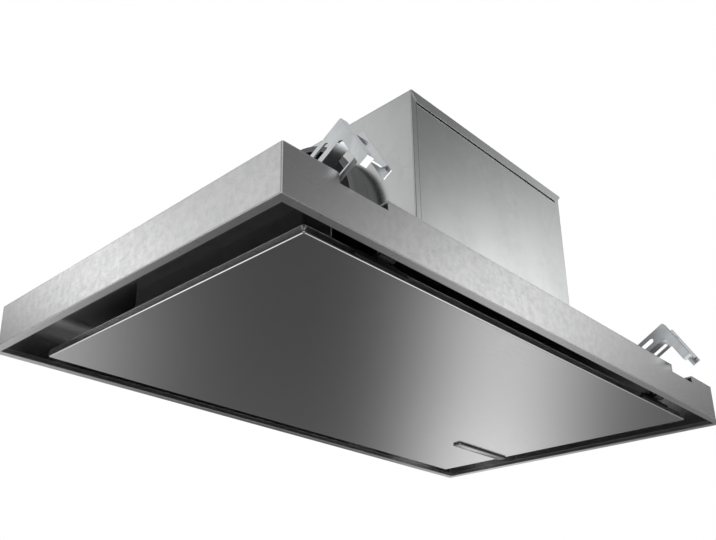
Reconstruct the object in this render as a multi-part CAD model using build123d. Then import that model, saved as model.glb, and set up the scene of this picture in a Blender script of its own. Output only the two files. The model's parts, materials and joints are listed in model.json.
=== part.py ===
from build123d import *
import math
import os

# Recirculating / ducted ceiling range hood, 900 x 500 mm, built into a cut-out in a
# suspended ceiling. Millimetres. The origin is the middle of the flange's underside,
# +X runs along the long side, +Z points up into the ceiling void.

# ---------------------------------------------------------------- driving dimensions
# Flanged frame that bears on the ceiling
FLANGE_LENGTH = 900.0
FLANGE_WIDTH = 500.0
FLANGE_RIM = 10.0          # width of the flange strip seen from below
FLANGE_OVERHANG = 7.0      # how far the flange stands out past the walls
FLANGE_SHEET = 1.2
WALL_REBATE = 0.3          # how deep the walls' lower edge is let into the flange
HEM_HEIGHT = 6.0           # upstand folded up round the opening
WALL_SHEET = 1.0
WALL_TOP = 57.0
RETURN_WIDTH = 20.0        # stiffening lip folded inwards at the wall's top
CORNER_BEND = 1.6

# Notches that the clamp levers swing through
CLAMP_INSET = 103.0        # notch's middle from the short wall's outer face
NOTCH_WIDTH = 67.0
NOTCH_DEPTH = 10.6
NOTCH_INLET = 21.0         # how far the notch reaches in from the wall's outer face
TRAY_REACH = 38.0          # how far the tray under a notch reaches in
TRAY_DEPTH = 11.0
TRAY_FLANGE = 6.0

# Inner plates
PLENUM_SHEET = 1.0
DECK_UNDERSIDE = 29.3
DECK_SHEET = 1.0

# Blower housing
HOUSING_LENGTH = 340.0     # along X, over the outlet panel
HOUSING_WIDTH = 340.0      # along Y, over the side sheets
HOUSING_TOP = 299.0
HOUSING_SHEET = 1.0
CORNER_RETURN = 10.0       # fold of the outlet panel round each side
LID_LIP = 13.0
LID_OVERHANG = 1.0
LID_MITRE = 11.0
HOUSING_FOOT = 16.0        # width of the shell's foot and of its top flange

# Round duct collar, axis along -X
DUCT_DROP = 8.0            # collar's axis below the middle of the housing's height
COLLAR_MARGIN = 20.0       # half the housing's height less the collar's radius
COLLAR_WALL = 3.0
COLLAR_REACH = 30.0        # how far it stands out of the housing
COLLAR_FLANGE = 10.0       # width of the flange behind the outlet panel
COLLAR_FLANGE_SHEET = 1.5
BEAD_RISE = 4.0            # how far the end bead stands out round the collar
BEAD_LENGTH = 7.0
BEAD_GROOVE = 2.0
BEAD_GROOVE_DEPTH = 1.2
FLAP_SHEET = 1.6
FLAP_GAP = 1.5
FLAP_PIVOT_SETBACK = 12.0  # from the collar's mouth to the pivot pin
FLAP_PIN_RADIUS = 2.5
STOP_RING_DEPTH = 5.0
STOP_RING_SHEET = 1.5
KNUCKLES = 4
KNUCKLE_WALL = 2.2

# Centrifugal fan
FAN_BACK_SPACE = 130.0     # shaft to the outside of the housing's back
WHEEL_RADIUS = 95.0
WHEEL_FLOOR_GAP = 8.0      # casing's floor to the wheel's rim
WHEEL_MOTOR_GAP = 20.5     # wheel's back plate to the motor can
BLADE_COUNT = 32
BLADE_DEPTH = 17.0
BLADE_SHEET = 1.0
BLADE_ARC = 14.0           # radius the blades are bent to
BLADE_LEAD = 7.0           # degrees a blade's tip runs ahead of its root
RIM_SHEET = 2.0
BACK_SHEET = 2.0
HUB_RADIUS = 16.0
HUB_LENGTH = 26.0
SHAFT_NUT = 6.0            # height of the nut
SHAFT_NUT_HALF = 8.0       # half its width across flats
SCROLL_LIFT = 11.0         # casing's floor above the frame's top
SCROLL_HEADROOM = 31.0     # casing's roof to the top of the lid
SCROLL_SHEET = 1.5
SCROLL_START_GAP = 10.0    # tongue to wheel
SCROLL_GROWTH = 25.0       # how much the spiral opens from tongue to outlet
SCROLL_MOUTH_SETBACK = 8.0
INLET_RADIUS = 82.0
PLENUM_HOLE_RIM = 20.0     # the plenum plate's hole round the inlet
MOTOR_RADIUS = 46.0
MOTOR_HEIGHT = 58.0
MOTOR_FLANGE = 14.0
MOTOR_FLANGE_SHEET = 3.0
MOTOR_NOSE_RADIUS = 12.0
MOTOR_NOSE = 4.0
MOTOR_FINS = 8
MOTOR_FIN = (5.0, 2.5)
SHAFT_RADIUS = 5.0
BUFFER_RADIUS = 7.0
BUFFER_AHEAD = 140.0       # rubber mounts ahead of the shaft, behind it and to its sides
BUFFER_BEHIND = 100.0
BUFFER_ASIDE = 75.0

# Cover panel
PANEL_END_GAP = 48.0       # suction gap at the short ends
PANEL_SIDE_GAP = 23.0      # suction gap along the long sides
PANEL_SHEET = 1.0
PANEL_EDGE = 8.0           # depth of its turned-up edge
PANEL_BEND = 1.5
HINGE_INSET = 102.0        # hinge's middle from the panel's short edge
HINGE_HEIGHT = 12.0
HINGE_OUTSET = 7.0         # from the panel's edge out to the pin
HINGE_PIN_RADIUS = 2.0
ARM_RAIL_HALF = 38.0       # grip of a hinge arm along the panel's edge
ARM_SHEET = 3.0
ARM_FOOT = (30.0, 26.0, 4.0)   # half length, width and height of the foot inside the panel
KNUCKLE_HALF = 7.5
KNUCKLE_RADIUS = 4.5
EAR_RADIUS = 4.6
HINGE_EAR = 3.0
BRACKET_BASE = (22.0, 12.0, 2.5)   # half length, half width and sheet of a hinge bracket's base
CATCH_INSET = 13.0         # magnet catch from the panel's swinging edge
CATCH_HALF = (15.0, 7.0)
CATCH_FACE = 12.0          # height where a catch meets its strike plate
STRIKE_HALF = (12.0, 5.0)
TRAY_EDGE_DROP = 0.7       # back tray's top below the panel's turned-up edge
TRAY_SHEET = 0.8

# Control bar on the cover panel
BAR_LENGTH = 130.0
BAR_WIDTH = 14.0
BAR_DEPTH = 3.0
BAR_EDGE = 119.0           # bar's middle from the panel's swinging edge
BAR_BOSS_INSET = 8.0
BAR_BOSS_HALF = 4.0
TOUCH_BOARD_HALF = 14.0
TOUCH_BOARD_END = 4.0      # board's end short of the panel's edge
TOUCH_BOARD_START = 6.0    # board's other end past the bar's

# Grease filters
FILTER_COUNT = 3
FILTER_LENGTH = 218.0
FILTER_WIDTH = 300.0
FILTER_DEPTH = 9.0
FILTER_BORDER = 14.0
FILTER_SPACING = 2.0
MESH_SHEET = 1.2
MESH_COLUMNS = 5
MESH_ROWS = 6
CARRIER_SHEET = 1.5
CARRIER_FOOT = 10.0
SEAT_LEDGE = 8.0
LATCH_HALF = 24.0
LATCH_DEPTH = 20.0
TONGUE_HALF = 6.0
TONGUE_REACH = 9.5
TONGUE_SLOPE = 1.6
HOOK_HALF = 7.0
HOOK_REACH = 7.0
HOOK_OFFSET = 60.0         # rear hooks from a cassette's middle
POCKET_WALL = 3.0
POCKET_FLOOR = 1.2

# Electronics box under the deck and mains inlet in the plenum plate
BOX_END_GAP = 54.0         # short wall to the box
BOX_SIDE_GAP = 28.0        # long wall to the box
BOX_LENGTH = 260.0         # along Y
BOX_WIDTH = 35.0
BOX_DEPTH = 19.3
BOX_WALL = 2.0
BOX_CORNER = 3.0
BOARD_SHEET = 1.6
BOARD_LIFT = 2.0           # stand-offs between the box's floor and the board
BOARD_CHIPS = ((0.17, 22.0), (0.40, 16.0), (0.63, 20.0), (0.86, 14.0))   # share of the length, side
BOARD_CHIP_HEIGHT = 8.4
BOARD_POSTS = (0.06, 0.52, 0.94)   # share of the length
BOARD_POST = 6.0           # side of a square stand-off
GLAND_INSET = 35.0         # from the short wall's outer face
GLAND_Y = 135.0
GLAND_RADIUS = 8.0
GLAND_BORE = 4.5
GLAND_HEX = (12.0, 7.0)    # half width across flats and height of the body
GLAND_CAP = (10.0, 13.0)   # radius and height of the dome nut
GLAND_NUT = (11.0, 4.0)    # the lock nut under the plate
GLAND_THREAD = 6.0         # how far the thread reaches under the plate

# Clamp lever, measured in the plane of its side plate
LEVER_ANGLE = 29.7         # slope of the inner leg at rest, degrees
LEVER_APEX_INSET = 7.5     # apex from the wall's outer face, inwards and up from its top
LEVER_APEX_RISE = 68.2
LEVER_LEG = 88.0           # apex to pivot, along the leg
LEVER_LEG_WIDTH = 20.0
LEVER_ARM = 64.0
LEVER_ARM_WIDTH = 11.5
LEVER_SHEET = 2.0
LEVER_WIDTH = 33.0         # side plate to far edge
LEVER_SHIFT = 1.0          # lever's middle short of the notch's
LEVER_OFFSET = -24.0       # side plate from the lever's place along the wall
LEVER_APEX_BEND = 2.5
LEVER_CROOK_BEND = 5.0
RIB_DROP = 3.0             # depth the outer web is pressed in
LEVER_SLOT = (25.0, 64.0)  # the side plate's slot along the leg
LEVER_SLOT_MIDDLE = 9.5
LEVER_SLOT_WIDTH = 7.5
LEVER_WEB_SLOT = (18.0, 75.0)
LEVER_WEB_SLOT_WIDTH = 12.0
LEVER_EAR = 14.0           # length of the far ear along the leg
LEVER_WEB_SHORT = 4.0      # the outer web stops short of the arm's tip
LEVER_FLANGE_LONG = 2.0    # the far flange runs past the arm's tip
LEVER_TAB = 9.0            # width of the tab turned in at the arm's tip
CLAMP_PIN_RADIUS = 3.0
TIE_BOLT_RADIUS = 3.0
TIE_BOLT_INSET = 50.0      # from the wall's outer face
TIE_BOLT_ASIDE = 21.0      # from the lever's side plate
TIE_BOLT_BELOW = 8.0       # the shank's end under the deck
TIE_HEAD_RISE = 27.0       # bolt head above the frame's top
TIE_HEAD = (9.6, 22.0, 6.0)
TIE_NUT = (6.5, 6.0)       # half width across flats, height
BRACKET_EAR = 11.0         # half width of a bracket's ear
BRACKET_TONGUE = 16.0      # how far its base runs on past the pivot
PIN_HEAD = 1.5

# Named clearances
RUNNING = 0.05             # shaft in its hole, on the radius
SIDE_PLAY = 1.0            # lever between its bracket's ears
SEAT = 0.3                 # between pieces that close on each other
HOLE_EASE = 0.5            # bolt in its square hole, all round

# ---------------------------------------------------------------- derived places
WALL_X = FLANGE_LENGTH / 2 - FLANGE_OVERHANG
WALL_Y = FLANGE_WIDTH / 2 - FLANGE_OVERHANG
OPEN_X = FLANGE_LENGTH / 2 - FLANGE_RIM
OPEN_Y = FLANGE_WIDTH / 2 - FLANGE_RIM
INNER_X = WALL_X - WALL_SHEET
INNER_Y = WALL_Y - WALL_SHEET
RETURN_UNDERSIDE = WALL_TOP - WALL_SHEET
PLENUM_UNDERSIDE = RETURN_UNDERSIDE - PLENUM_SHEET
DECK_TOP = DECK_UNDERSIDE + DECK_SHEET
NOTCH_FLOOR = WALL_TOP - NOTCH_DEPTH
HOUSING_X = HOUSING_LENGTH / 2
HOUSING_Y = HOUSING_WIDTH / 2
LID_UNDERSIDE = HOUSING_TOP - HOUSING_SHEET
CLAMP_CENTRE = WALL_X - CLAMP_INSET
LEVER_CENTRE = CLAMP_CENTRE - LEVER_SHIFT
LEVER_APEX_Y = -WALL_Y + LEVER_APEX_INSET
LEVER_APEX_Z = WALL_TOP + LEVER_APEX_RISE
TIE_HEAD_BOTTOM = WALL_TOP + TIE_HEAD_RISE
PANEL_X = OPEN_X - PANEL_END_GAP
PANEL_Y = OPEN_Y - PANEL_SIDE_GAP
HINGE_Y = -PANEL_Y - HINGE_OUTSET
HINGE_CENTRE = PANEL_X - HINGE_INSET
BAR_CENTRE_Y = PANEL_Y - BAR_EDGE
HOUSING_HEIGHT = HOUSING_TOP - WALL_TOP
DUCT_HEIGHT = WALL_TOP + HOUSING_HEIGHT / 2 - DUCT_DROP
COLLAR_RADIUS = HOUSING_HEIGHT / 2 - COLLAR_MARGIN
COLLAR_BORE = COLLAR_RADIUS - COLLAR_WALL
BEAD_RADIUS = COLLAR_RADIUS + BEAD_RISE
COLLAR_MOUTH_X = -HOUSING_X - COLLAR_REACH
FLAP_PIVOT_X = COLLAR_MOUTH_X + FLAP_PIVOT_SETBACK
PIN_HALF = COLLAR_BORE + COLLAR_WALL / 2
FAN_CENTRE_X = HOUSING_X - FAN_BACK_SPACE
SCROLL_FLOOR = WALL_TOP + SCROLL_LIFT
SCROLL_TOP = HOUSING_TOP - SCROLL_HEADROOM
SCROLL_MOUTH_HALF = COLLAR_BORE + 1.0
MOUTH_X = -HOUSING_X + SCROLL_MOUTH_SETBACK
MOTOR_TOP = SCROLL_TOP - SCROLL_SHEET
MOTOR_LOW = MOTOR_TOP - MOTOR_HEIGHT
WHEEL_FLOOR = SCROLL_FLOOR + WHEEL_FLOOR_GAP
WHEEL_TOP = MOTOR_LOW - WHEEL_MOTOR_GAP
WHEEL_HEIGHT = WHEEL_TOP - WHEEL_FLOOR
HUB_BOTTOM = WHEEL_TOP - HUB_LENGTH
SHAFT_TOP = MOTOR_TOP - 14.0
BAY_LENGTH = FILTER_COUNT * FILTER_LENGTH + (FILTER_COUNT + 1) * FILTER_SPACING
BAY_WIDTH = FILTER_WIDTH + 2 * FILTER_SPACING
FILTER_BOTTOM = DECK_UNDERSIDE + 0.4
FILTER_TOP = FILTER_BOTTOM + FILTER_DEPTH
CATCH_HOLE = (DECK_TOP + 1.6, DECK_TOP + 5.4)   # height of the carrier's holes for tongues and hooks
LATCH_FRONT = -FILTER_WIDTH / 2 + POCKET_WALL
POCKET_HALF = LATCH_HALF + POCKET_WALL
POCKET_END = -FILTER_WIDTH / 2 + FILTER_BORDER + LATCH_DEPTH
TRAY_HALF = NOTCH_WIDTH / 2
TRAY_INNER_Y = WALL_Y - TRAY_REACH
LEVER_PIVOT_DROP = LEVER_LEG_WIDTH / 2
TIE_BOLT_OFFSET = LEVER_OFFSET + TIE_BOLT_ASIDE
BACK_TOP = PANEL_EDGE - TRAY_EDGE_DROP
BACK_BOTTOM = BACK_TOP - TRAY_SHEET
EAR_GAP = KNUCKLE_HALF + 0.5
CATCH_Y = PANEL_Y - CATCH_INSET
BOX_X = (-INNER_X + BOX_END_GAP, -INNER_X + BOX_END_GAP + BOX_WIDTH)
BOX_Y = (-INNER_Y + BOX_SIDE_GAP, -INNER_Y + BOX_SIDE_GAP + BOX_LENGTH)
BOX_BOTTOM = DECK_UNDERSIDE - BOX_DEPTH
GLAND_X = -WALL_X + GLAND_INSET
CORNERS = ((-1, -1), (1, -1), (-1, 1), (1, 1))

os.makedirs("parts", exist_ok=True)


def save(name, shape):
    shape.label = name
    export_step(shape, "parts/" + name + ".step")


def block(x_range, y_range, z_range):
    size = [high - low for low, high in (x_range, y_range, z_range)]
    middle = [(high + low) / 2 for low, high in (x_range, y_range, z_range)]
    return Pos(*middle) * Box(*size)


def slab(length, width, bottom, top, radius=0.0):
    outline = RectangleRounded(length, width, radius) if radius else Rectangle(length, width)
    return Pos(0, 0, bottom) * extrude(outline, top - bottom)


def ring_slab(outer_x, outer_y, inner_x, inner_y, bottom, top, radius=0.0):
    outer = slab(2 * outer_x, 2 * outer_y, bottom, top, radius)
    bore = max(radius - (outer_x - inner_x), 0.0)
    return outer - slab(2 * inner_x, 2 * inner_y, bottom - 1, top + 1, bore)


def upright(x, y, bottom, top, radius):
    return Pos(x, y, (bottom + top) / 2) * Cylinder(radius, top - bottom)


def along_x(start, end, y, z, radius):
    middle = Location(((start + end) / 2, y, z), (0, 90, 0))
    return middle * Cylinder(radius, end - start)


def hexagon(half, height):
    return extrude(RegularPolygon(half, 6, major_radius=False), height)


def group(solids):
    return Compound(children=list(solids))


# ---------------------------------------------------------------- flanged frame
def ceiling_flange():
    """Flange that bears on the ceiling, with a hem folded up round the opening."""
    hem_x = OPEN_X + WALL_SHEET
    hem_y = OPEN_Y + WALL_SHEET
    rebate = FLANGE_SHEET - WALL_REBATE
    flange = ring_slab(FLANGE_LENGTH / 2, FLANGE_WIDTH / 2, OPEN_X, OPEN_Y, 0, FLANGE_SHEET, CORNER_BEND)
    flange -= ring_slab(WALL_X, WALL_Y, hem_x, hem_y, rebate, FLANGE_SHEET + 1, CORNER_BEND)
    return flange + ring_slab(hem_x, hem_y, OPEN_X, OPEN_Y, 0, HEM_HEIGHT)


def canopy_walls():
    """Four upright walls, welded at the corners and standing in the flange's rebate."""
    foot = FLANGE_SHEET - WALL_REBATE
    return notched(ring_slab(WALL_X, WALL_Y, INNER_X, INNER_Y, foot, RETURN_UNDERSIDE, CORNER_BEND))


def stiffening_lips():
    """Lips along the walls' top edge, broken at the notches, that carry the plenum plate."""
    inner_x = WALL_X - RETURN_WIDTH
    inner_y = WALL_Y - RETURN_WIDTH
    return notched(ring_slab(WALL_X, WALL_Y, inner_x, inner_y, RETURN_UNDERSIDE, WALL_TOP, CORNER_BEND))


def notched(sheet):
    for side_x, side_y in CORNERS:
        sheet -= notch(side_x, side_y)
    return sheet


def notch(side_x, side_y):
    middle = side_x * CLAMP_CENTRE
    y_range = sorted((side_y * (WALL_Y + 1), side_y * (WALL_Y - NOTCH_INLET)))
    return block((middle - NOTCH_WIDTH / 2, middle + NOTCH_WIDTH / 2), y_range, (NOTCH_FLOOR, WALL_TOP + 1))


# ---------------------------------------------------------------- plenum plate and clamp trays
def plenum_top():
    plate = slab(2 * INNER_X, 2 * INNER_Y, PLENUM_UNDERSIDE, RETURN_UNDERSIDE, CORNER_BEND)
    plate -= upright(FAN_CENTRE_X, 0, PLENUM_UNDERSIDE - 1, WALL_TOP, INLET_RADIUS + PLENUM_HOLE_RIM)
    for side_x, side_y in CORNERS:
        middle = side_x * CLAMP_CENTRE
        y_range = sorted((side_y * WALL_Y, side_y * TRAY_INNER_Y))
        plate -= block((middle - TRAY_HALF, middle + TRAY_HALF), y_range, (PLENUM_UNDERSIDE - 1, WALL_TOP))
    for x, y in tie_bolt_places():
        plate -= tie_bolt_hole(x, y)
    plate -= upright(GLAND_X, GLAND_Y, PLENUM_UNDERSIDE - 1, WALL_TOP, GLAND_RADIUS)
    return plate


def clamp_tray(side_x, side_y):
    """Sheet-metal well under a notch, open to the wall, hung from the plenum plate."""
    middle = side_x * CLAMP_CENTRE
    outer = TRAY_HALF + DECK_SHEET
    floor = PLENUM_UNDERSIDE - TRAY_DEPTH
    near = INNER_Y
    far = TRAY_INNER_Y - DECK_SHEET

    def across(low, high):
        return sorted((side_y * low, side_y * high))

    well = block((middle - outer, middle + outer), across(near, far), (floor, PLENUM_UNDERSIDE))
    well -= block(
        (middle - TRAY_HALF, middle + TRAY_HALF),
        across(near - WALL_SHEET, TRAY_INNER_Y),
        (floor + DECK_SHEET, WALL_TOP),
    )
    mouth = across(near + 1, near - 2 * WALL_SHEET)
    well -= block((middle - TRAY_HALF, middle + TRAY_HALF), mouth, (NOTCH_FLOOR, WALL_TOP))
    flange = block(
        (middle - outer - TRAY_FLANGE, middle + outer + TRAY_FLANGE),
        across(near, far - TRAY_FLANGE),
        (PLENUM_UNDERSIDE - DECK_SHEET, PLENUM_UNDERSIDE),
    )
    flange -= block((middle - TRAY_HALF, middle + TRAY_HALF), across(near + 1, TRAY_INNER_Y), (0, WALL_TOP))
    return well + flange


def tie_bolt_hole(x, y):
    """Square punched hole for a tie bolt, through the deck and the plenum plate."""
    side = 2 * (TIE_BOLT_RADIUS + HOLE_EASE)
    return Pos(x, y, WALL_TOP / 2) * Box(side, side, WALL_TOP)


# ---------------------------------------------------------------- clamp levers
def lever_frame():
    """Local frame of a lever: x across the lever, y down the inner leg, z away from the arm."""
    tilt = math.radians(LEVER_ANGLE)
    return Plane(
        origin=(0, LEVER_APEX_Y, LEVER_APEX_Z), x_dir=(1, 0, 0), z_dir=(0, math.sin(tilt), math.cos(tilt))
    ).location


def lever_pivot():
    """World Y and Z of the pivot of a lever on the -Y side."""
    tilt = math.radians(LEVER_ANGLE)
    y = LEVER_APEX_Y + LEVER_LEG * math.cos(tilt) - LEVER_PIVOT_DROP * math.sin(tilt)
    z = LEVER_APEX_Z - LEVER_LEG * math.sin(tilt) - LEVER_PIVOT_DROP * math.cos(tilt)
    return y, z


def side_plate():
    """Outline of the lever's side plate, drawn as (down the leg, away from the arm)."""
    pivot = (LEVER_LEG, -LEVER_PIVOT_DROP)
    points = [
        (0, 0),
        (LEVER_LEG, 0),
        (LEVER_LEG, -LEVER_LEG_WIDTH),
        (LEVER_ARM_WIDTH, -LEVER_LEG_WIDTH),
        (LEVER_ARM_WIDTH, -LEVER_ARM),
        (0, -LEVER_ARM),
    ]
    outline = make_face(Polyline(*points, close=True))
    apex = outline.vertices().sort_by_distance((0, 0))[0]
    outline = fillet(apex, LEVER_APEX_BEND)
    crook = outline.vertices().sort_by_distance((LEVER_ARM_WIDTH, -LEVER_LEG_WIDTH))[0]
    outline = fillet(crook, LEVER_CROOK_BEND)
    outline += Pos(*pivot) * Circle(LEVER_PIVOT_DROP)
    outline -= Pos(*pivot) * Circle(CLAMP_PIN_RADIUS + RUNNING)
    start, end = LEVER_SLOT
    slot = SlotOverall(end - start, LEVER_SLOT_WIDTH)
    return outline - Pos((start + end) / 2, -LEVER_SLOT_MIDDLE) * slot


def clamp_lever():
    """One folded sheet lever in its local frame: an L side plate with two bent webs."""
    sheet = LEVER_SHEET
    near = LEVER_OFFSET
    far = LEVER_OFFSET + LEVER_WIDTH
    low = -LEVER_LEG_WIDTH
    sideways = Plane(origin=(near, 0, 0), x_dir=(0, 1, 0), z_dir=(1, 0, 0))
    plate = extrude(sideways * side_plate(), sheet)
    # lower web along the inner leg, with its long slot for the tie bolt
    web = block((near, far), (LEVER_ARM_WIDTH, LEVER_LEG), (low, low + sheet))
    slot = (TIE_BOLT_OFFSET - LEVER_WEB_SLOT_WIDTH / 2, TIE_BOLT_OFFSET + LEVER_WEB_SLOT_WIDTH / 2)
    web -= block(slot, LEVER_WEB_SLOT, (low - 1, low + sheet + 1))
    # far ear that carries the other end of the pivot pin
    ear = block((far - sheet, far), (LEVER_LEG - LEVER_EAR, LEVER_LEG), (low, 0))
    ear += pivot_disc(far - sheet, far, LEVER_PIVOT_DROP)
    ear -= pivot_disc(far - sheet - 1, far + 1, CLAMP_PIN_RADIUS + RUNNING)
    # outer web down the arm: a pressed channel that ends in a far flange
    web_end = LEVER_ARM - LEVER_WEB_SHORT
    outer = Pos(0, 0, -web_end) * extrude(pressed_channel(near, far), web_end - sheet)
    flange = block((far - sheet, far), (0, LEVER_ARM_WIDTH), (-LEVER_ARM - LEVER_FLANGE_LONG, -sheet))
    tab = block((near, near + LEVER_TAB), (0, LEVER_ARM_WIDTH), (-LEVER_ARM, -LEVER_ARM + sheet))
    # gusset that ties the lower web to the outer web behind the arm
    gusset = block((near, far), (sheet / 2, LEVER_ARM_WIDTH + 2), (low, low + sheet))
    return plate + web + ear + outer + flange + tab + gusset


def pressed_channel(near, far):
    """Section of the outer web: near lip, sunk middle and far lip, one sheet thick."""
    sheet = LEVER_SHEET
    lip = near + 8.0
    sunk = (near + 13.0, far - 6.0)
    rise = far - 4.0
    slope = 0.6                # how much a slanting side's foot moves with the sheet's thickness
    return Polygon(
        (near, 0), (lip, 0), (sunk[0], RIB_DROP), (sunk[1], RIB_DROP), (rise, 0), (far, 0),
        (far, LEVER_ARM_WIDTH), (far - sheet, LEVER_ARM_WIDTH), (far - sheet, sheet), (rise + 1, sheet),
        (sunk[1] + 1, RIB_DROP + sheet), (sunk[0] - slope, RIB_DROP + sheet), (lip - slope, sheet),
        (near, sheet),
        align=None,
    )


def pivot_disc(start, end, radius):
    middle = Location(((start + end) / 2, LEVER_LEG, -LEVER_PIVOT_DROP), (0, 90, 0))
    return middle * Cylinder(radius, end - start)


def placed(shape, side_x, side_y):
    """Puts a clamp piece modelled for the -Y side, round X = 0, at one of the four notches."""
    if side_y < 0:
        return Pos(side_x * LEVER_CENTRE, 0, 0) * shape
    return Pos(side_x * LEVER_CENTRE, 0, 0) * (Rot(0, 0, 180) * shape)


def clamp_bracket():
    """Folded bracket whose two ears hold the lever's pivot pin."""
    y, z = lever_pivot()
    near = LEVER_OFFSET - SIDE_PLAY
    far = LEVER_OFFSET + LEVER_WIDTH + SIDE_PLAY
    ear = LEVER_SHEET
    half = BRACKET_EAR
    foot = RETURN_UNDERSIDE
    bracket = block((near - ear, far + ear), (y - half, y + BRACKET_TONGUE), (foot, foot + ear))
    for low, high in ((near - ear, near), (far, far + ear)):
        bracket += block((low, high), (y - half, y + half), (foot, z))
        bracket += along_x(low, high, y, z, half)
    return bracket - along_x(near - ear - 1, far + ear + 1, y, z, CLAMP_PIN_RADIUS)


def clamp_pin():
    y, z = lever_pivot()
    near = LEVER_OFFSET - SIDE_PLAY - LEVER_SHEET
    far = LEVER_OFFSET + LEVER_WIDTH + SIDE_PLAY + LEVER_SHEET
    pin = along_x(near, far + PIN_HEAD, y, z, CLAMP_PIN_RADIUS)
    return pin + along_x(near - PIN_HEAD, near, y, z, CLAMP_PIN_RADIUS + PIN_HEAD)


def tie_bolt_place(side_x, side_y):
    x = side_x * LEVER_CENTRE - side_y * TIE_BOLT_OFFSET
    return x, side_y * (WALL_Y - TIE_BOLT_INSET)


def tie_bolt_places():
    return [tie_bolt_place(side_x, side_y) for side_x, side_y in CORNERS]


def tie_bolt(x, y):
    """Hammer-head bolt: its long head slips through the lever's slot, then turns across it."""
    shank = upright(x, y, DECK_UNDERSIDE - TIE_BOLT_BELOW, TIE_HEAD_BOTTOM + 1, TIE_BOLT_RADIUS)
    return shank + Pos(x, y, TIE_HEAD_BOTTOM + TIE_HEAD[2] / 2) * Box(*TIE_HEAD)


def tie_nut(x, y):
    half, height = TIE_NUT
    nut = Pos(x, y, DECK_UNDERSIDE - height) * hexagon(half, height)
    return nut - upright(x, y, 0, DECK_TOP, TIE_BOLT_RADIUS)


# ---------------------------------------------------------------- filter deck and carrier
def filter_deck():
    deck = slab(2 * INNER_X, 2 * INNER_Y, DECK_UNDERSIDE, DECK_TOP, CORNER_BEND)
    deck -= slab(BAY_LENGTH, BAY_WIDTH, DECK_UNDERSIDE - 1, DECK_TOP + 1, 4.0)
    for x, y in tie_bolt_places():
        deck -= tie_bolt_hole(x, y)
    return deck


def filter_carrier():
    """Ledge frame above the deck that the filter cassettes close against."""
    half_x = BAY_LENGTH / 2
    half_y = BAY_WIDTH / 2
    seat_top = FILTER_TOP + SEAT + CARRIER_SHEET
    frame = ring_slab(half_x + CARRIER_SHEET, half_y + CARRIER_SHEET, half_x, half_y, DECK_TOP, seat_top)
    frame += ring_slab(
        half_x + CARRIER_SHEET, half_y + CARRIER_SHEET, half_x - SEAT_LEDGE, half_y - SEAT_LEDGE,
        seat_top - CARRIER_SHEET, seat_top,
    )
    frame += ring_slab(
        half_x + CARRIER_FOOT, half_y + CARRIER_FOOT, half_x, half_y, DECK_TOP, DECK_TOP + CARRIER_SHEET
    )
    for index in range(FILTER_COUNT - 1):
        x = filter_x(index) + FILTER_LENGTH / 2 + FILTER_SPACING / 2
        bar = (x - SEAT_LEDGE, x + SEAT_LEDGE)
        frame += block(bar, (-half_y, half_y), (seat_top - CARRIER_SHEET, seat_top))
    for index in range(FILTER_COUNT):
        x = filter_x(index)
        front = (-half_y - CARRIER_FOOT - 1, -half_y + 1)
        rear = (half_y - 1, half_y + CARRIER_FOOT + 1)
        half = TONGUE_HALF + 3
        frame -= block((x - half, x + half), front, CATCH_HOLE)
        half = HOOK_HALF + 1
        for middle in (x - HOOK_OFFSET, x + HOOK_OFFSET):
            frame -= block((middle - half, middle + half), rear, CATCH_HOLE)
    return frame


def filter_x(index):
    pitch = FILTER_LENGTH + FILTER_SPACING
    return (index - (FILTER_COUNT - 1) / 2) * pitch


def filter_frame(x):
    """Aluminium channel frame of one cassette with its latch pocket and rear hooks."""
    outer = slab(FILTER_LENGTH, FILTER_WIDTH, FILTER_BOTTOM, FILTER_TOP, 3.0)
    window = slab(
        FILTER_LENGTH - 2 * FILTER_BORDER, FILTER_WIDTH - 2 * FILTER_BORDER, FILTER_BOTTOM - 1, FILTER_TOP + 1
    )
    frame = outer - window
    start = -FILTER_WIDTH / 2 + 2
    frame += block((-POCKET_HALF, POCKET_HALF), (start, POCKET_END), (FILTER_BOTTOM, FILTER_TOP))
    pocket = (LATCH_FRONT, POCKET_END - POCKET_WALL)
    floor = FILTER_BOTTOM + POCKET_FLOOR
    frame -= block((-LATCH_HALF, LATCH_HALF), pocket, (floor, FILTER_TOP - POCKET_FLOOR))
    frame -= block((-LATCH_HALF + 5, LATCH_HALF - 5), pocket, (FILTER_BOTTOM - 1, floor + 1))
    half = TONGUE_HALF + 1
    slot = (CATCH_HOLE[0] + 0.2, CATCH_HOLE[1] - 0.2)
    frame -= block((-half, half), (-FILTER_WIDTH / 2 - 1, LATCH_FRONT + 1), slot)
    rear = FILTER_WIDTH / 2
    hook = (CATCH_HOLE[0] + 0.4, CATCH_HOLE[1] - 0.4)
    for offset in (-HOOK_OFFSET, HOOK_OFFSET):
        frame += block((offset - HOOK_HALF, offset + HOOK_HALF), (rear - 1, rear + HOOK_REACH), hook)
    return Pos(x, 0, 0) * frame


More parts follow.
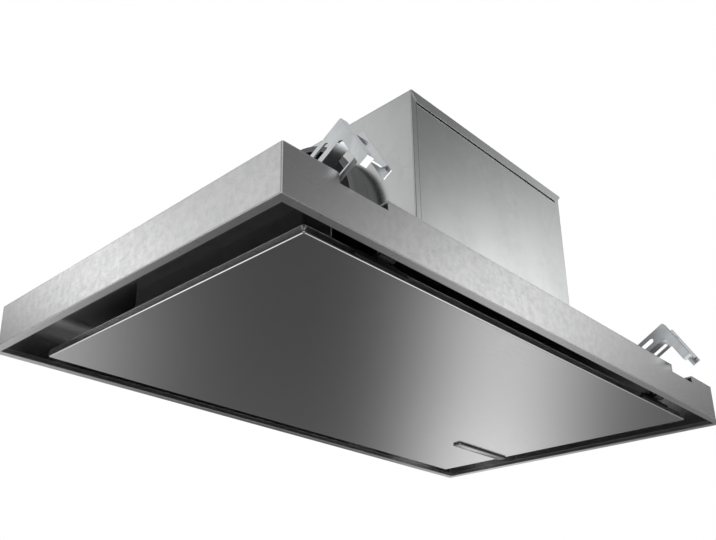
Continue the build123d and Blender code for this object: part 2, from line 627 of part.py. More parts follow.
def filter_mesh(x):
    """Expanded-metal pad held in the cassette, drawn as one net of diamond gaps."""
    length = FILTER_LENGTH - 2 * FILTER_BORDER
    width = FILTER_WIDTH - 2 * FILTER_BORDER
    middle = FILTER_BOTTOM + FILTER_DEPTH / 2
    net = Pos(0, 0, middle) * Box(length, width, MESH_SHEET)
    net -= block((-POCKET_HALF, POCKET_HALF), (-width, POCKET_END), (0, WALL_TOP))
    step_x = length / MESH_COLUMNS
    step_y = width / MESH_ROWS
    gap_x = 0.4 * step_x
    gap_y = 0.4 * step_y
    diamond = Polygon((-gap_x, 0), (0, -gap_y), (gap_x, 0), (0, gap_y))
    hole = extrude(diamond, MESH_SHEET * 2)
    holes = []
    for column in range(MESH_COLUMNS):
        for row in range(MESH_ROWS):
            place_x = (column + 0.5) * step_x - length / 2
            place_y = (row + 0.5) * step_y - width / 2
            if abs(place_x) - gap_x < POCKET_HALF and place_y - gap_y < POCKET_END:
                continue
            holes.append(Pos(place_x, place_y, middle - MESH_SHEET) * hole)
    return Pos(x, 0, 0) * (net - holes)


def filter_latch(x):
    """Spring bolt with a finger lip: its tongue passes through the frame into the carrier."""
    half = LATCH_HALF - 0.5
    front = LATCH_FRONT + SEAT
    end = front + LATCH_DEPTH
    body = block((-half, half), (front, end), (DECK_TOP + 1.0, DECK_TOP + 6.0))
    lip = block((-half + 6, half - 6), (end - 4.5, end - 2.0), (FILTER_BOTTOM, DECK_TOP + 1.5))
    height = (CATCH_HOLE[0] + 0.5, CATCH_HOLE[1] - 0.5)
    tongue = block((-TONGUE_HALF, TONGUE_HALF), (front - TONGUE_REACH, front + 1), height)
    tongue = chamfer(tongue.edges().filter_by(Axis.X).sort_by(Axis.Y)[0:2].sort_by(Axis.Z)[-1], TONGUE_SLOPE)
    return Pos(x, 0, 0) * (body + lip + tongue)


# ---------------------------------------------------------------- blower housing
def housing_shell():
    """Three sides of the blower box folded from one sheet, with a foot and a top flange turned inwards."""
    front = -HOUSING_X + HOUSING_SHEET
    outer = block((front, HOUSING_X), (-HOUSING_Y, HOUSING_Y), (RETURN_UNDERSIDE, LID_UNDERSIDE))
    folds = outer.edges().filter_by(Axis.Z).sort_by(Axis.X)[-2:]
    outer = fillet(folds, CORNER_BEND)
    inside = HOUSING_Y - HOUSING_SHEET
    back = HOUSING_X - HOUSING_SHEET
    hollow = (RETURN_UNDERSIDE + HOUSING_SHEET, LID_UNDERSIDE - HOUSING_SHEET)
    shell = outer - block((front - 1, back), (-inside, inside), hollow)
    well = HOUSING_Y - HOUSING_FOOT
    return shell - block((front - 1, HOUSING_X - HOUSING_FOOT), (-well, well), (0, HOUSING_TOP))


def outlet_panel():
    """Front sheet of the blower box; its side folds wrap 10 mm round the shell."""
    side = HOUSING_Y + HOUSING_SHEET
    outer = block((-HOUSING_X, -HOUSING_X + CORNER_RETURN), (-side, side), (RETURN_UNDERSIDE, LID_UNDERSIDE))
    folds = outer.edges().filter_by(Axis.Z).sort_by(Axis.X)[0:2]
    outer = fillet(folds, CORNER_BEND)
    hollow = (-HOUSING_X + HOUSING_SHEET, -HOUSING_X + CORNER_RETURN + 1)
    panel = outer - block(hollow, (-HOUSING_Y, HOUSING_Y), (0, HOUSING_TOP))
    bore = along_x(-HOUSING_X - 1, -HOUSING_X + CORNER_RETURN + 1, 0, DUCT_HEIGHT, COLLAR_RADIUS)
    return panel - bore


def housing_lid():
    side = HOUSING_Y + HOUSING_SHEET + LID_OVERHANG
    ends = (-HOUSING_X, HOUSING_X + LID_OVERHANG)
    lid = block(ends, (-side, side), (HOUSING_TOP - LID_LIP, HOUSING_TOP))
    lid -= block((ends[0] - 1, ends[1] + 1), (-side + LID_OVERHANG, side - LID_OVERHANG), (0, LID_UNDERSIDE))
    for end, direction in ((ends[0], 1), (ends[1], -1)):
        mitre = Polygon(
            (end, HOUSING_TOP - LID_LIP),
            (end + direction * LID_MITRE, HOUSING_TOP - LID_LIP),
            (end, HOUSING_TOP - LID_LIP + LID_MITRE),
            align=None,
        )
        lid -= extrude(Plane.XZ * mitre, side + 1, both=True)
    return lid


# ---------------------------------------------------------------- duct collar and flaps
def duct_collar():
    """Spigot turned about the duct axis: inner flange, tube, stop ring, groove and end bead."""
    back = HOUSING_SHEET           # distances are measured outwards from the panel's outer face
    bead_start = COLLAR_REACH - BEAD_LENGTH
    stop = COLLAR_REACH - FLAP_PIVOT_SETBACK - FLAP_SHEET / 2 - SEAT
    profile = [
        (COLLAR_BORE, -back - COLLAR_FLANGE_SHEET),
        (COLLAR_RADIUS + COLLAR_FLANGE, -back - COLLAR_FLANGE_SHEET),
        (COLLAR_RADIUS + COLLAR_FLANGE, -back),
        (COLLAR_RADIUS, -back),
        (COLLAR_RADIUS, bead_start - BEAD_GROOVE),
        (COLLAR_RADIUS - BEAD_GROOVE_DEPTH, bead_start - BEAD_GROOVE),
        (COLLAR_RADIUS - BEAD_GROOVE_DEPTH, bead_start),
        (BEAD_RADIUS, bead_start),
        (BEAD_RADIUS, COLLAR_REACH),
        (COLLAR_BORE, COLLAR_REACH),
        (COLLAR_BORE, stop),
        (COLLAR_BORE - STOP_RING_DEPTH, stop),
        (COLLAR_BORE - STOP_RING_DEPTH, stop - STOP_RING_SHEET),
        (COLLAR_BORE, stop - STOP_RING_SHEET),
    ]
    half = Polyline(*profile, close=True)
    collar = revolve(Plane.XZ * make_face(half), Axis.Z)
    collar = duct_location() * collar
    collar -= upright(FLAP_PIVOT_X, 0, DUCT_HEIGHT - PIN_HALF, DUCT_HEIGHT + PIN_HALF, FLAP_PIN_RADIUS)
    return collar


def duct_location():
    """Local +Z along the duct axis, outwards from the panel's outer face."""
    return Plane(origin=(-HOUSING_X, 0, DUCT_HEIGHT), x_dir=(0, 1, 0), z_dir=(-1, 0, 0)).location


def flap_pin():
    return upright(FLAP_PIVOT_X, 0, DUCT_HEIGHT - PIN_HALF, DUCT_HEIGHT + PIN_HALF, FLAP_PIN_RADIUS)


def duct_flap(side):
    """Half-moon flap; knuckles of the two flaps alternate on one upright pin."""
    radius = COLLAR_BORE - FLAP_GAP
    hub = FLAP_PIN_RADIUS + KNUCKLE_WALL
    disc = Plane.YZ * Circle(radius)
    plate = extrude(disc, FLAP_SHEET / 2, both=True)
    plate -= block((-5, 5), sorted((-side * (radius + 1), side * (hub + SEAT))), (-radius - 1, radius + 1))
    leaf = plate
    reach = radius - 4.0
    pitch = 2 * reach / KNUCKLES
    for index in range(KNUCKLES):
        if (index % 2 == 0) == (side > 0):
            low = -reach + index * pitch + SEAT
            high = low + pitch - 2 * SEAT
            leaf += upright(0, 0, low, high, hub)
            leaf += block((-FLAP_SHEET / 2, FLAP_SHEET / 2), sorted((0, side * (hub + 1))), (low, high))
    leaf -= upright(0, 0, -radius, radius, FLAP_PIN_RADIUS + RUNNING)
    return Pos(FLAP_PIVOT_X, 0, DUCT_HEIGHT) * leaf


# ---------------------------------------------------------------- fan
SPIRAL_START = 215.0
SPIRAL_END = 460.0
SPIRAL_POINTS = 8          # an even number, as each arc of the spiral runs over two spans


def spiral_points(extra):
    """Points on the spiral wall from the outlet end back round to the tongue."""
    points = []
    for step in range(SPIRAL_POINTS + 1):
        share = 1 - step / SPIRAL_POINTS
        angle = math.radians(SPIRAL_START + share * (SPIRAL_END - SPIRAL_START))
        radius = WHEEL_RADIUS + SCROLL_START_GAP + share * SCROLL_GROWTH + extra
        points.append((FAN_CENTRE_X + radius * math.cos(angle), radius * math.sin(angle)))
    return points


def scroll_outline(extra):
    spiral = spiral_points(extra)
    upper = (MOUTH_X, SCROLL_MOUTH_HALF + extra)
    lower = (MOUTH_X, -SCROLL_MOUTH_HALF - extra)
    arcs = [ThreePointArc(*spiral[first : first + 3]) for first in range(0, SPIRAL_POINTS, 2)]
    return make_face([Line(upper, spiral[0]), *arcs, Line(spiral[-1], lower), Line(lower, upper)])


def scroll_wall():
    """Spiral side wall, one strip bent round the wheel and open at the duct's end."""
    low = SCROLL_FLOOR + SCROLL_SHEET
    high = SCROLL_TOP - SCROLL_SHEET
    wall = Pos(0, 0, low) * extrude(scroll_outline(SCROLL_SHEET) - scroll_outline(0), high - low)
    return wall - block((MOUTH_X - 2, MOUTH_X + 1), (-SCROLL_MOUTH_HALF, SCROLL_MOUTH_HALF), (low, high))


def scroll_plate(bottom, hole):
    """Side plate of the casing, standing out round the wall, with a round hole over the shaft."""
    plate = extrude(scroll_outline(SCROLL_SHEET), SCROLL_SHEET)
    return Pos(0, 0, bottom) * (plate - Pos(FAN_CENTRE_X, 0, -1) * extrude(Circle(hole), SCROLL_SHEET + 2))


def inlet_ring():
    """Bell-mouthed ring from the plenum plate up through the casing's floor."""
    throat = INLET_RADIUS - SEAT
    sheet = SCROLL_SHEET
    low = RETURN_UNDERSIDE
    bell = [(throat + 26, 0), (throat + 26, sheet), (throat + 15, sheet), (throat, 10.0)]
    lining = [(throat - sheet, 9.5), (throat + 14, 0)]
    top = SCROLL_FLOOR + SCROLL_SHEET + 3 - low
    profile = make_face(Polyline(*bell, (throat, top), (throat - sheet, top), *lining, close=True))
    return Pos(FAN_CENTRE_X, 0, low) * revolve(Plane.XZ * profile, Axis.Z)


def blade():
    """Outline of one forward-curved blade: two concentric arcs from the inner to the outer rim."""
    inner = WHEEL_RADIUS - BLADE_DEPTH
    outer = WHEEL_RADIUS - BLADE_SHEET / 2 - 0.1
    lead = math.radians(BLADE_LEAD)
    start = (inner, 0.0)
    end = (outer * math.cos(lead), outer * math.sin(lead))
    across = (end[0] - start[0], end[1] - start[1])
    chord = math.hypot(*across)
    rise = math.sqrt(BLADE_ARC**2 - chord**2 / 4) / chord
    centre = ((start[0] + end[0]) / 2 - across[1] * rise, (start[1] + end[1]) / 2 + across[0] * rise)
    first, last = (math.atan2(y - centre[1], x - centre[0]) for x, y in (start, end))

    def arc(radius):
        turns = (first, (first + last) / 2, last)
        return [(centre[0] + radius * math.cos(turn), centre[1] + radius * math.sin(turn)) for turn in turns]

    outside = arc(BLADE_ARC + BLADE_SHEET / 2)
    inside = arc(BLADE_ARC - BLADE_SHEET / 2)
    return make_face(
        [
            ThreePointArc(*outside),
            Line(outside[-1], inside[-1]),
            ThreePointArc(*reversed(inside)),
            Line(inside[0], outside[0]),
        ]
    )


def fan_blades():
    """All blades, each a separate strip crimped between the rim and the back plate."""
    outline = blade()
    height = WHEEL_HEIGHT - RIM_SHEET - BACK_SHEET
    strip = Pos(0, 0, WHEEL_FLOOR + RIM_SHEET) * extrude(outline, height)
    return group(
        Pos(FAN_CENTRE_X, 0, 0) * (Rot(0, 0, 360 / BLADE_COUNT * step) * strip) for step in range(BLADE_COUNT)
    )


def fan_rim():
    ring = Circle(WHEEL_RADIUS) - Circle(WHEEL_RADIUS - BLADE_DEPTH - BLADE_SHEET)
    return Pos(FAN_CENTRE_X, 0, WHEEL_FLOOR) * extrude(ring, RIM_SHEET)


def fan_back_plate():
    bore = Circle(SHAFT_RADIUS)
    back = Pos(0, 0, WHEEL_HEIGHT - BACK_SHEET) * extrude(Circle(WHEEL_RADIUS) - bore, BACK_SHEET)
    hub = Pos(0, 0, WHEEL_HEIGHT - HUB_LENGTH) * extrude(Circle(HUB_RADIUS) - bore, HUB_LENGTH)
    return Pos(FAN_CENTRE_X, 0, WHEEL_FLOOR) * (back + hub)


def motor():
    """Motor can hung from the casing's roof, with cooling fins and its bearing nose."""
    flange_low = MOTOR_TOP - MOTOR_FLANGE_SHEET
    can = upright(FAN_CENTRE_X, 0, MOTOR_LOW, flange_low, MOTOR_RADIUS)
    can = chamfer(can.faces().sort_by(Axis.Z)[0].edges(), 5.0)
    can += upright(FAN_CENTRE_X, 0, flange_low, MOTOR_TOP, MOTOR_RADIUS + MOTOR_FLANGE)
    can += upright(FAN_CENTRE_X, 0, MOTOR_LOW - MOTOR_NOSE, MOTOR_LOW + 1, MOTOR_NOSE_RADIUS)
    depth, width = MOTOR_FIN
    height = 0.7 * MOTOR_HEIGHT
    fin = Pos(MOTOR_RADIUS + 0.3 * depth, 0, (MOTOR_LOW + MOTOR_TOP) / 2) * Box(depth, width, height)
    for step in range(MOTOR_FINS):
        can += Pos(FAN_CENTRE_X, 0, 0) * (Rot(0, 0, 360 / MOTOR_FINS * step) * fin)
    return can - upright(FAN_CENTRE_X, 0, MOTOR_LOW - MOTOR_NOSE - 1, SHAFT_TOP + 2, SHAFT_RADIUS + RUNNING)


def motor_shaft():
    return upright(FAN_CENTRE_X, 0, HUB_BOTTOM - SHAFT_NUT - 2, SHAFT_TOP, SHAFT_RADIUS)


def shaft_nut():
    nut = Pos(FAN_CENTRE_X, 0, HUB_BOTTOM - SHAFT_NUT) * hexagon(SHAFT_NUT_HALF, SHAFT_NUT)
    return nut - upright(FAN_CENTRE_X, 0, 0, HUB_BOTTOM, SHAFT_RADIUS)


def vibration_mounts():
    """Four rubber buffers between the plenum plate and the casing's floor."""
    return group(
        upright(x, y, RETURN_UNDERSIDE, SCROLL_FLOOR, BUFFER_RADIUS)
        for x in (FAN_CENTRE_X - BUFFER_AHEAD, FAN_CENTRE_X + BUFFER_BEHIND)
        for y in (-BUFFER_ASIDE, BUFFER_ASIDE)
    )


# ---------------------------------------------------------------- electronics and mains inlet
def electronics_box():
    outer = block(BOX_X, BOX_Y, (BOX_BOTTOM, DECK_UNDERSIDE))
    outer = fillet(outer.edges().filter_by(Axis.Z), BOX_CORNER)
    inside = block(
        (BOX_X[0] + BOX_WALL, BOX_X[1] - BOX_WALL),
        (BOX_Y[0] + BOX_WALL, BOX_Y[1] - BOX_WALL),
        (BOX_BOTTOM + BOX_WALL, DECK_UNDERSIDE - BOX_WALL),
    )
    seat = (DECK_UNDERSIDE - BOX_WALL, DECK_UNDERSIDE + 1)
    return outer - inside - block((BOX_X[0] - 1, BOX_X[1] + 1), (BOX_Y[0] - 1, BOX_Y[1] + 1), seat)


def electronics_lid():
    lid = block(BOX_X, BOX_Y, (DECK_UNDERSIDE - BOX_WALL, DECK_UNDERSIDE))
    return fillet(lid.edges().filter_by(Axis.Z), BOX_CORNER)


def control_board():
    """Circuit board on its stand-offs with four square components."""
    inset = BOX_WALL + 2
    low = BOX_BOTTOM + BOX_WALL + BOARD_LIFT
    high = low + BOARD_SHEET
    board = block((BOX_X[0] + inset, BOX_X[1] - inset), (BOX_Y[0] + inset, BOX_Y[1] - inset), (low, high))
    middle = sum(BOX_X) / 2
    for share, side in BOARD_CHIPS:
        y = BOX_Y[0] + share * BOX_LENGTH
        board += Pos(middle, y, high + BOARD_CHIP_HEIGHT / 2) * Box(side, side, BOARD_CHIP_HEIGHT)
    for share in BOARD_POSTS:
        y = BOX_Y[0] + share * BOX_LENGTH
        board += Pos(middle, y, low - BOARD_LIFT / 2) * Box(BOARD_POST, BOARD_POST, BOARD_LIFT)
    return board


def cable_gland():
    """Screwed gland for the mains lead in the plenum plate, beside the blower box."""
    base = RETURN_UNDERSIDE
    seat = base + GLAND_HEX[1]
    top = seat + GLAND_CAP[1]
    body = Pos(GLAND_X, GLAND_Y, base) * hexagon(*GLAND_HEX)
    cap = upright(GLAND_X, GLAND_Y, seat, top, GLAND_CAP[0])
    thread = upright(GLAND_X, GLAND_Y, PLENUM_UNDERSIDE - GLAND_THREAD, base + 1, GLAND_RADIUS)
    nut = Pos(GLAND_X, GLAND_Y, PLENUM_UNDERSIDE - GLAND_NUT[1]) * hexagon(*GLAND_NUT)
    gland = body + cap + thread + nut
    return gland - upright(GLAND_X, GLAND_Y, PLENUM_UNDERSIDE - GLAND_THREAD - 1, top + 1, GLAND_BORE)


# ---------------------------------------------------------------- cover panel
def cover_panel():
    """Brushed steel panel with turned-up edges, and a slot behind the control bar."""
    outer = slab(2 * PANEL_X, 2 * PANEL_Y, 0, PANEL_EDGE, PANEL_BEND)
    outer = chamfer(outer.faces().sort_by(Axis.Z)[0].edges(), 0.6)
    inside = slab(2 * (PANEL_X - PANEL_SHEET), 2 * (PANEL_Y - PANEL_SHEET), PANEL_SHEET, PANEL_EDGE + 1)
    return outer - inside - bar_boss(-1.0, PANEL_SHEET + 1)


def panel_back_plate():
    """Inner tray of the panel, its rim folded down on to the panel's sheet."""
    gap = PANEL_SHEET + SEAT
    length = 2 * (PANEL_X - gap)
    width = 2 * (PANEL_Y - gap)
    tray = slab(length, width, PANEL_SHEET, BACK_TOP)
    return tray - slab(length - 2 * TRAY_SHEET, width - 2 * TRAY_SHEET, 0, BACK_BOTTOM)


def bar_boss(bottom, top):
    along = (PANEL_X - BAR_LENGTH + BAR_BOSS_INSET, PANEL_X - BAR_BOSS_INSET)
    return block(along, (BAR_CENTRE_Y - BAR_BOSS_HALF, BAR_CENTRE_Y + BAR_BOSS_HALF), (bottom, top))


def control_bar():
    """Touch bar that stands proud of the panel, open to the panel's short edge."""
    across = (BAR_CENTRE_Y - BAR_WIDTH / 2, BAR_CENTRE_Y + BAR_WIDTH / 2)
    bar = block((PANEL_X - BAR_LENGTH, PANEL_X), across, (-BAR_DEPTH, 0))
    corners = bar.edges().filter_by(Axis.Z).sort_by(Axis.X)[0:2]
    bar = fillet(corners, 1.5)
    face = bar.faces().sort_by(Axis.Z)[0]
    bar = chamfer(face.edges(), 0.6)
    return bar + bar_boss(-0.5, PANEL_SHEET)


def touch_board():
    along = (PANEL_X - BAR_LENGTH - TOUCH_BOARD_START, PANEL_X - TOUCH_BOARD_END)
    across = (BAR_CENTRE_Y - TOUCH_BOARD_HALF, BAR_CENTRE_Y + TOUCH_BOARD_HALF)
    return block(along, across, (PANEL_SHEET, BACK_BOTTOM))


def hinge_arm(side):
    """Moulded arm that grips the panel's long edge and carries the hinge knuckle."""
    x = side * HINGE_CENTRE
    outer_face = -PANEL_Y - SEAT
    inner_face = -PANEL_Y + PANEL_SHEET + SEAT
    grip = (outer_face - ARM_SHEET, outer_face)
    knuckle = (x - KNUCKLE_HALF, x + KNUCKLE_HALF)
    rail = block((x - ARM_RAIL_HALF, x + ARM_RAIL_HALF), grip, (0.25 * PANEL_EDGE, PANEL_EDGE - 1.5))
    rail = fillet(rail.edges().filter_by(Axis.Y), 2.0)
    web = block(knuckle, grip, (PANEL_EDGE / 2, PANEL_EDGE + 2))
    half, width, height = ARM_FOOT
    foot = block((x - half, x + half), (inner_face, inner_face + width), (BACK_TOP, BACK_TOP + height))
    neck = block(knuckle, (HINGE_Y, inner_face + 8), (PANEL_EDGE, HINGE_HEIGHT + ARM_SHEET))
    barrel = along_x(*knuckle, HINGE_Y, HINGE_HEIGHT, KNUCKLE_RADIUS)
    arm = rail + web + foot + neck + barrel
    return arm - along_x(knuckle[0] - 1, knuckle[1] + 1, HINGE_Y, HINGE_HEIGHT, HINGE_PIN_RADIUS + RUNNING)


def hinge_bracket(side):
    """Bracket under the deck whose ears hold the panel's hinge pin."""
    x = side * HINGE_CENTRE
    half_x, half_y, sheet = BRACKET_BASE
    across = (HINGE_Y - half_y, HINGE_Y + half_y)
    bracket = block((x - half_x, x + half_x), across, (DECK_UNDERSIDE - sheet, DECK_UNDERSIDE))
    ear = (HINGE_Y - EAR_RADIUS, HINGE_Y + EAR_RADIUS)
    for low in (x - EAR_GAP - HINGE_EAR, x + EAR_GAP):
        high = low + HINGE_EAR
        bracket += block((low, high), ear, (HINGE_HEIGHT, DECK_UNDERSIDE - 1))
        bracket += along_x(low, high, HINGE_Y, HINGE_HEIGHT, EAR_RADIUS)
    return bracket - along_x(x - half_x, x + half_x, HINGE_Y, HINGE_HEIGHT, HINGE_PIN_RADIUS)


def hinge_pins():
    reach = EAR_GAP + HINGE_EAR + 1.0
    pin = along_x(-reach, reach, HINGE_Y, HINGE_HEIGHT, HINGE_PIN_RADIUS)
    return group(Pos(side * HINGE_CENTRE, 0, 0) * pin for side in (-1, 1))


def catch_block(side, half_sizes, low, high):
    x = side * HINGE_CENTRE
    half_x, half_y = half_sizes
    return block((x - half_x, x + half_x), (CATCH_Y - half_y, CATCH_Y + half_y), (low, high))


def panel_catches():
    """Magnet catches under the deck, near the panel's swinging edge."""
    return group(catch_block(side, CATCH_HALF, CATCH_FACE, DECK_UNDERSIDE) for side in (-1, 1))


def strike_plates():
    return group(catch_block(side, STRIKE_HALF, BACK_TOP, CATCH_FACE - SEAT) for side in (-1, 1))


# ---------------------------------------------------------------- write the pieces
def corner_name(side_x, side_y):
    return ("front" if side_y < 0 else "rear") + ("_left" if side_x < 0 else "_right")


def write_all():
    save("ceiling_flange", ceiling_flange())
    save("canopy_walls", canopy_walls())
    save("stiffening_lips", stiffening_lips())
    save("plenum_top", plenum_top())
    save("clamp_trays", group(clamp_tray(*corner) for corner in CORNERS))
    lever = lever_frame() * clamp_lever()
    bracket = clamp_bracket()
    pin = clamp_pin()
    for corner in CORNERS:
        save("clamp_lever_" + corner_name(*corner), placed(lever, *corner))
    save("clamp_brackets", group(placed(bracket, *corner) for corner in CORNERS))
    save("clamp_pins", group(placed(pin, *corner) for corner in CORNERS))
    save("clamp_tie_bolts", group(tie_bolt(x, y) for x, y in tie_bolt_places()))
    save("clamp_nuts", group(tie_nut(x, y) for x, y in tie_bolt_places()))
    save("filter_deck", filter_deck())
    save("filter_carrier", filter_carrier())
    for index, name in enumerate(("left", "middle", "right")):
        save("filter_frame_" + name, filter_frame(filter_x(index)))
        save("filter_mesh_" + name, filter_mesh(filter_x(index)))
        save("filter_latch_" + name, filter_latch(filter_x(index)))
    save("housing_shell", housing_shell())
    save("outlet_panel", outlet_panel())
    save("housing_lid", housing_lid())
    save("duct_collar", duct_collar())
    save("flap_pin", flap_pin())
    save("duct_flap_left", duct_flap(1))
    save("duct_flap_right", duct_flap(-1))
    save("scroll_wall", scroll_wall())
    save("scroll_floor", scroll_plate(SCROLL_FLOOR, INLET_RADIUS))
    save("scroll_roof", scroll_plate(SCROLL_TOP - SCROLL_SHEET, MOTOR_RADIUS / 2))
    save("inlet_ring", inlet_ring())
    save("fan_blades", fan_blades())
    save("fan_rim", fan_rim())
    save("fan_back_plate", fan_back_plate())
    save("motor_shaft", motor_shaft())
    save("shaft_nut", shaft_nut())
    save("motor", motor())
    save("vibration_mounts", vibration_mounts())
    save("electronics_box", electronics_box())
    save("electronics_lid", electronics_lid())
    save("control_board", control_board())
    save("cable_gland", cable_gland())
    save("cover_panel", cover_panel())
    save("panel_back_plate", panel_back_plate())
    save("control_bar", control_bar())
    save("touch_board", touch_board())
    for side, name in ((-1, "left"), (1, "right")):
        save("hinge_arm_" + name, hinge_arm(side))
        save("hinge_bracket_" + name, hinge_bracket(side))
    save("hinge_pins", hinge_pins())
    save("panel_catches", panel_catches())
    save("strike_plates", strike_plates())


write_all()
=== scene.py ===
"""Ceiling range hood: sheet-metal finishes, screws, threads, filter nets and a white studio."""

import json
import math

import bmesh
import bpy
from mathutils import Matrix, Vector


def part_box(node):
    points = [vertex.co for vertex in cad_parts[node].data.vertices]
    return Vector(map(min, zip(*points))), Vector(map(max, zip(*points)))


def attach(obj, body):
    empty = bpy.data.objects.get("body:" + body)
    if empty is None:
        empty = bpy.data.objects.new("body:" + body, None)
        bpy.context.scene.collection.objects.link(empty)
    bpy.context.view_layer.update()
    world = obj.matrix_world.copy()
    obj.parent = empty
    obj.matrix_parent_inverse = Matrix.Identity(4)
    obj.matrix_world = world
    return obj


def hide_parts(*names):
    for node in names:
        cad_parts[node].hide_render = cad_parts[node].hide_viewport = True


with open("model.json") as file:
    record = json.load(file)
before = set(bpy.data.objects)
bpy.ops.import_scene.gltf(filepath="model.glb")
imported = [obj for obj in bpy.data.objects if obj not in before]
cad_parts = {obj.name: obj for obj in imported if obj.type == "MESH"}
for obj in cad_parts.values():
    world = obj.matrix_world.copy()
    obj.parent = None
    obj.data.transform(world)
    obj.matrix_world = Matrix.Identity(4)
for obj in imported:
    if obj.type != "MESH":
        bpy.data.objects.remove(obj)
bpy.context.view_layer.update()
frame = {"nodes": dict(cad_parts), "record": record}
NODES = frame["nodes"]
MM = 0.001


# ---------------------------------------------------------------- node helpers
# A Mix node names its sockets alike for every kind of data, so those for colours go by number
MIX_SHARE, MIX_FIRST, MIX_SECOND = 0, 6, 7
MIX_COLOUR = 2


def feed(tree, socket, value):
    """Links a socket to another node's output, or sets it to a plain value."""
    if isinstance(value, bpy.types.NodeSocket):
        tree.links.new(value, socket)
    else:
        socket.default_value = value


def new_node(tree, kind, inputs=None, **options):
    """Adds a node, sets its options, and feeds each named or numbered input."""
    node = tree.nodes.new(kind)
    for option, value in options.items():
        setattr(node, option, value)
    for socket, value in (inputs or {}).items():
        feed(tree, node.inputs[socket], value)
    return node


def calculate(tree, operation, first, second=0.0, clamp=False):
    """The result of one sum."""
    node = new_node(tree, "ShaderNodeMath", {0: first, 1: second}, operation=operation, use_clamp=clamp)
    return node.outputs[0]


def spread(tree, value, low, high, to_low=0.0, to_high=1.0, smooth=False):
    """Maps a value from one range to another, held at its ends."""
    inputs = {"Value": value, "From Min": low, "From Max": high, "To Min": to_low, "To Max": to_high}
    kind = "SMOOTHSTEP" if smooth else "LINEAR"
    return new_node(tree, "ShaderNodeMapRange", inputs, interpolation_type=kind).outputs["Result"]


def stretch(tree, vector, factors):
    """A vector times a factor along each axis; coordinates so become counted in cells."""
    node = new_node(tree, "ShaderNodeVectorMath", {0: vector, 1: factors}, operation="MULTIPLY")
    return node.outputs[0]


def axes_of(tree, vector):
    """A vector's shares along X, Y and Z."""
    return new_node(tree, "ShaderNodeSeparateXYZ", {0: vector}).outputs


def between(tree, share, first, second):
    """The colour at a share of the way from the first to the second."""
    inputs = {MIX_SHARE: share, MIX_FIRST: first, MIX_SECOND: second}
    return new_node(tree, "ShaderNodeMix", inputs, data_type="RGBA").outputs[MIX_COLOUR]


def noise(tree, coordinates, scale, detail, roughness=0.5, distortion=0.0):
    """The grey of a noise."""
    inputs = {
        "Vector": coordinates, "Scale": scale, "Detail": detail,
        "Roughness": roughness, "Distortion": distortion,
    }
    return new_node(tree, "ShaderNodeTexNoise", inputs).outputs[0]


def relief(tree, height, strength, depth, normal):
    """A surface's normal with a pattern of heights pressed into it."""
    inputs = {"Strength": strength, "Distance": depth, "Height": height, "Normal": normal}
    return new_node(tree, "ShaderNodeBump", inputs).outputs[0]


def shader_group(name, inputs, outputs):
    """An empty shader node group with named inputs and outputs."""
    tree = bpy.data.node_groups.new(name, "ShaderNodeTree")
    for label, kind, value in inputs:
        socket = tree.interface.new_socket(name=label, in_out="INPUT", socket_type=kind)
        socket.default_value = value
    for label, kind in outputs:
        tree.interface.new_socket(name=label, in_out="OUTPUT", socket_type=kind)
    entry = tree.nodes.new("NodeGroupInput")
    leave = tree.nodes.new("NodeGroupOutput")
    return tree, entry.outputs, leave.inputs


def placed_group(tree, group, inputs):
    """Places a node group in a material with its own values."""
    return new_node(tree, "ShaderNodeGroup", inputs, node_tree=group).outputs


# ---------------------------------------------------------------- effects that finishes share
# Pairs named NOISE give the noise level at which an effect starts, and the one at which it is full
BRUSH_DEPTH = 0.2 * MM
CRYSTAL_WARP = 12.0 * MM
HAZE_NOISE = (0.35, 0.68)
SMUDGE_NOISE = (0.4, 0.7)
SCUFF_NOISE = (0.72, 0.8)
SCUFF_CELLS = (60.0, 340.0, 340.0)      # scuffs to a metre, drawn out along X
DUST_NOISE = (0.35, 0.7)
DUST_TILT = (0.6, 0.95)                 # upward share of the normal where dust starts, and lies in full
DUST_LEAST = 0.2                        # share of the dust that lies between its patches


def build_brush_lines():
    """Fine parallel lines left by the brushing belt."""
    tree, entry, leave = shader_group(
        "brush_lines",
        [
            ("Coordinates", "NodeSocketVector", (0, 0, 0)),
            ("Lines", "NodeSocketVector", (8, 8, 900)),
            ("Depth", "NodeSocketFloat", 0.1),
            ("Normal", "NodeSocketVector", (0, 0, 0)),
        ],
        [("Streaks", "NodeSocketFloat"), ("Normal", "NodeSocketVector")],
    )
    cells = stretch(tree, entry["Coordinates"], entry["Lines"])
    streaks = noise(tree, cells, scale=1.0, detail=3.0, roughness=0.6)
    feed(tree, leave["Streaks"], streaks)
    feed(tree, leave["Normal"], relief(tree, streaks, entry["Depth"], BRUSH_DEPTH, entry["Normal"]))
    return tree


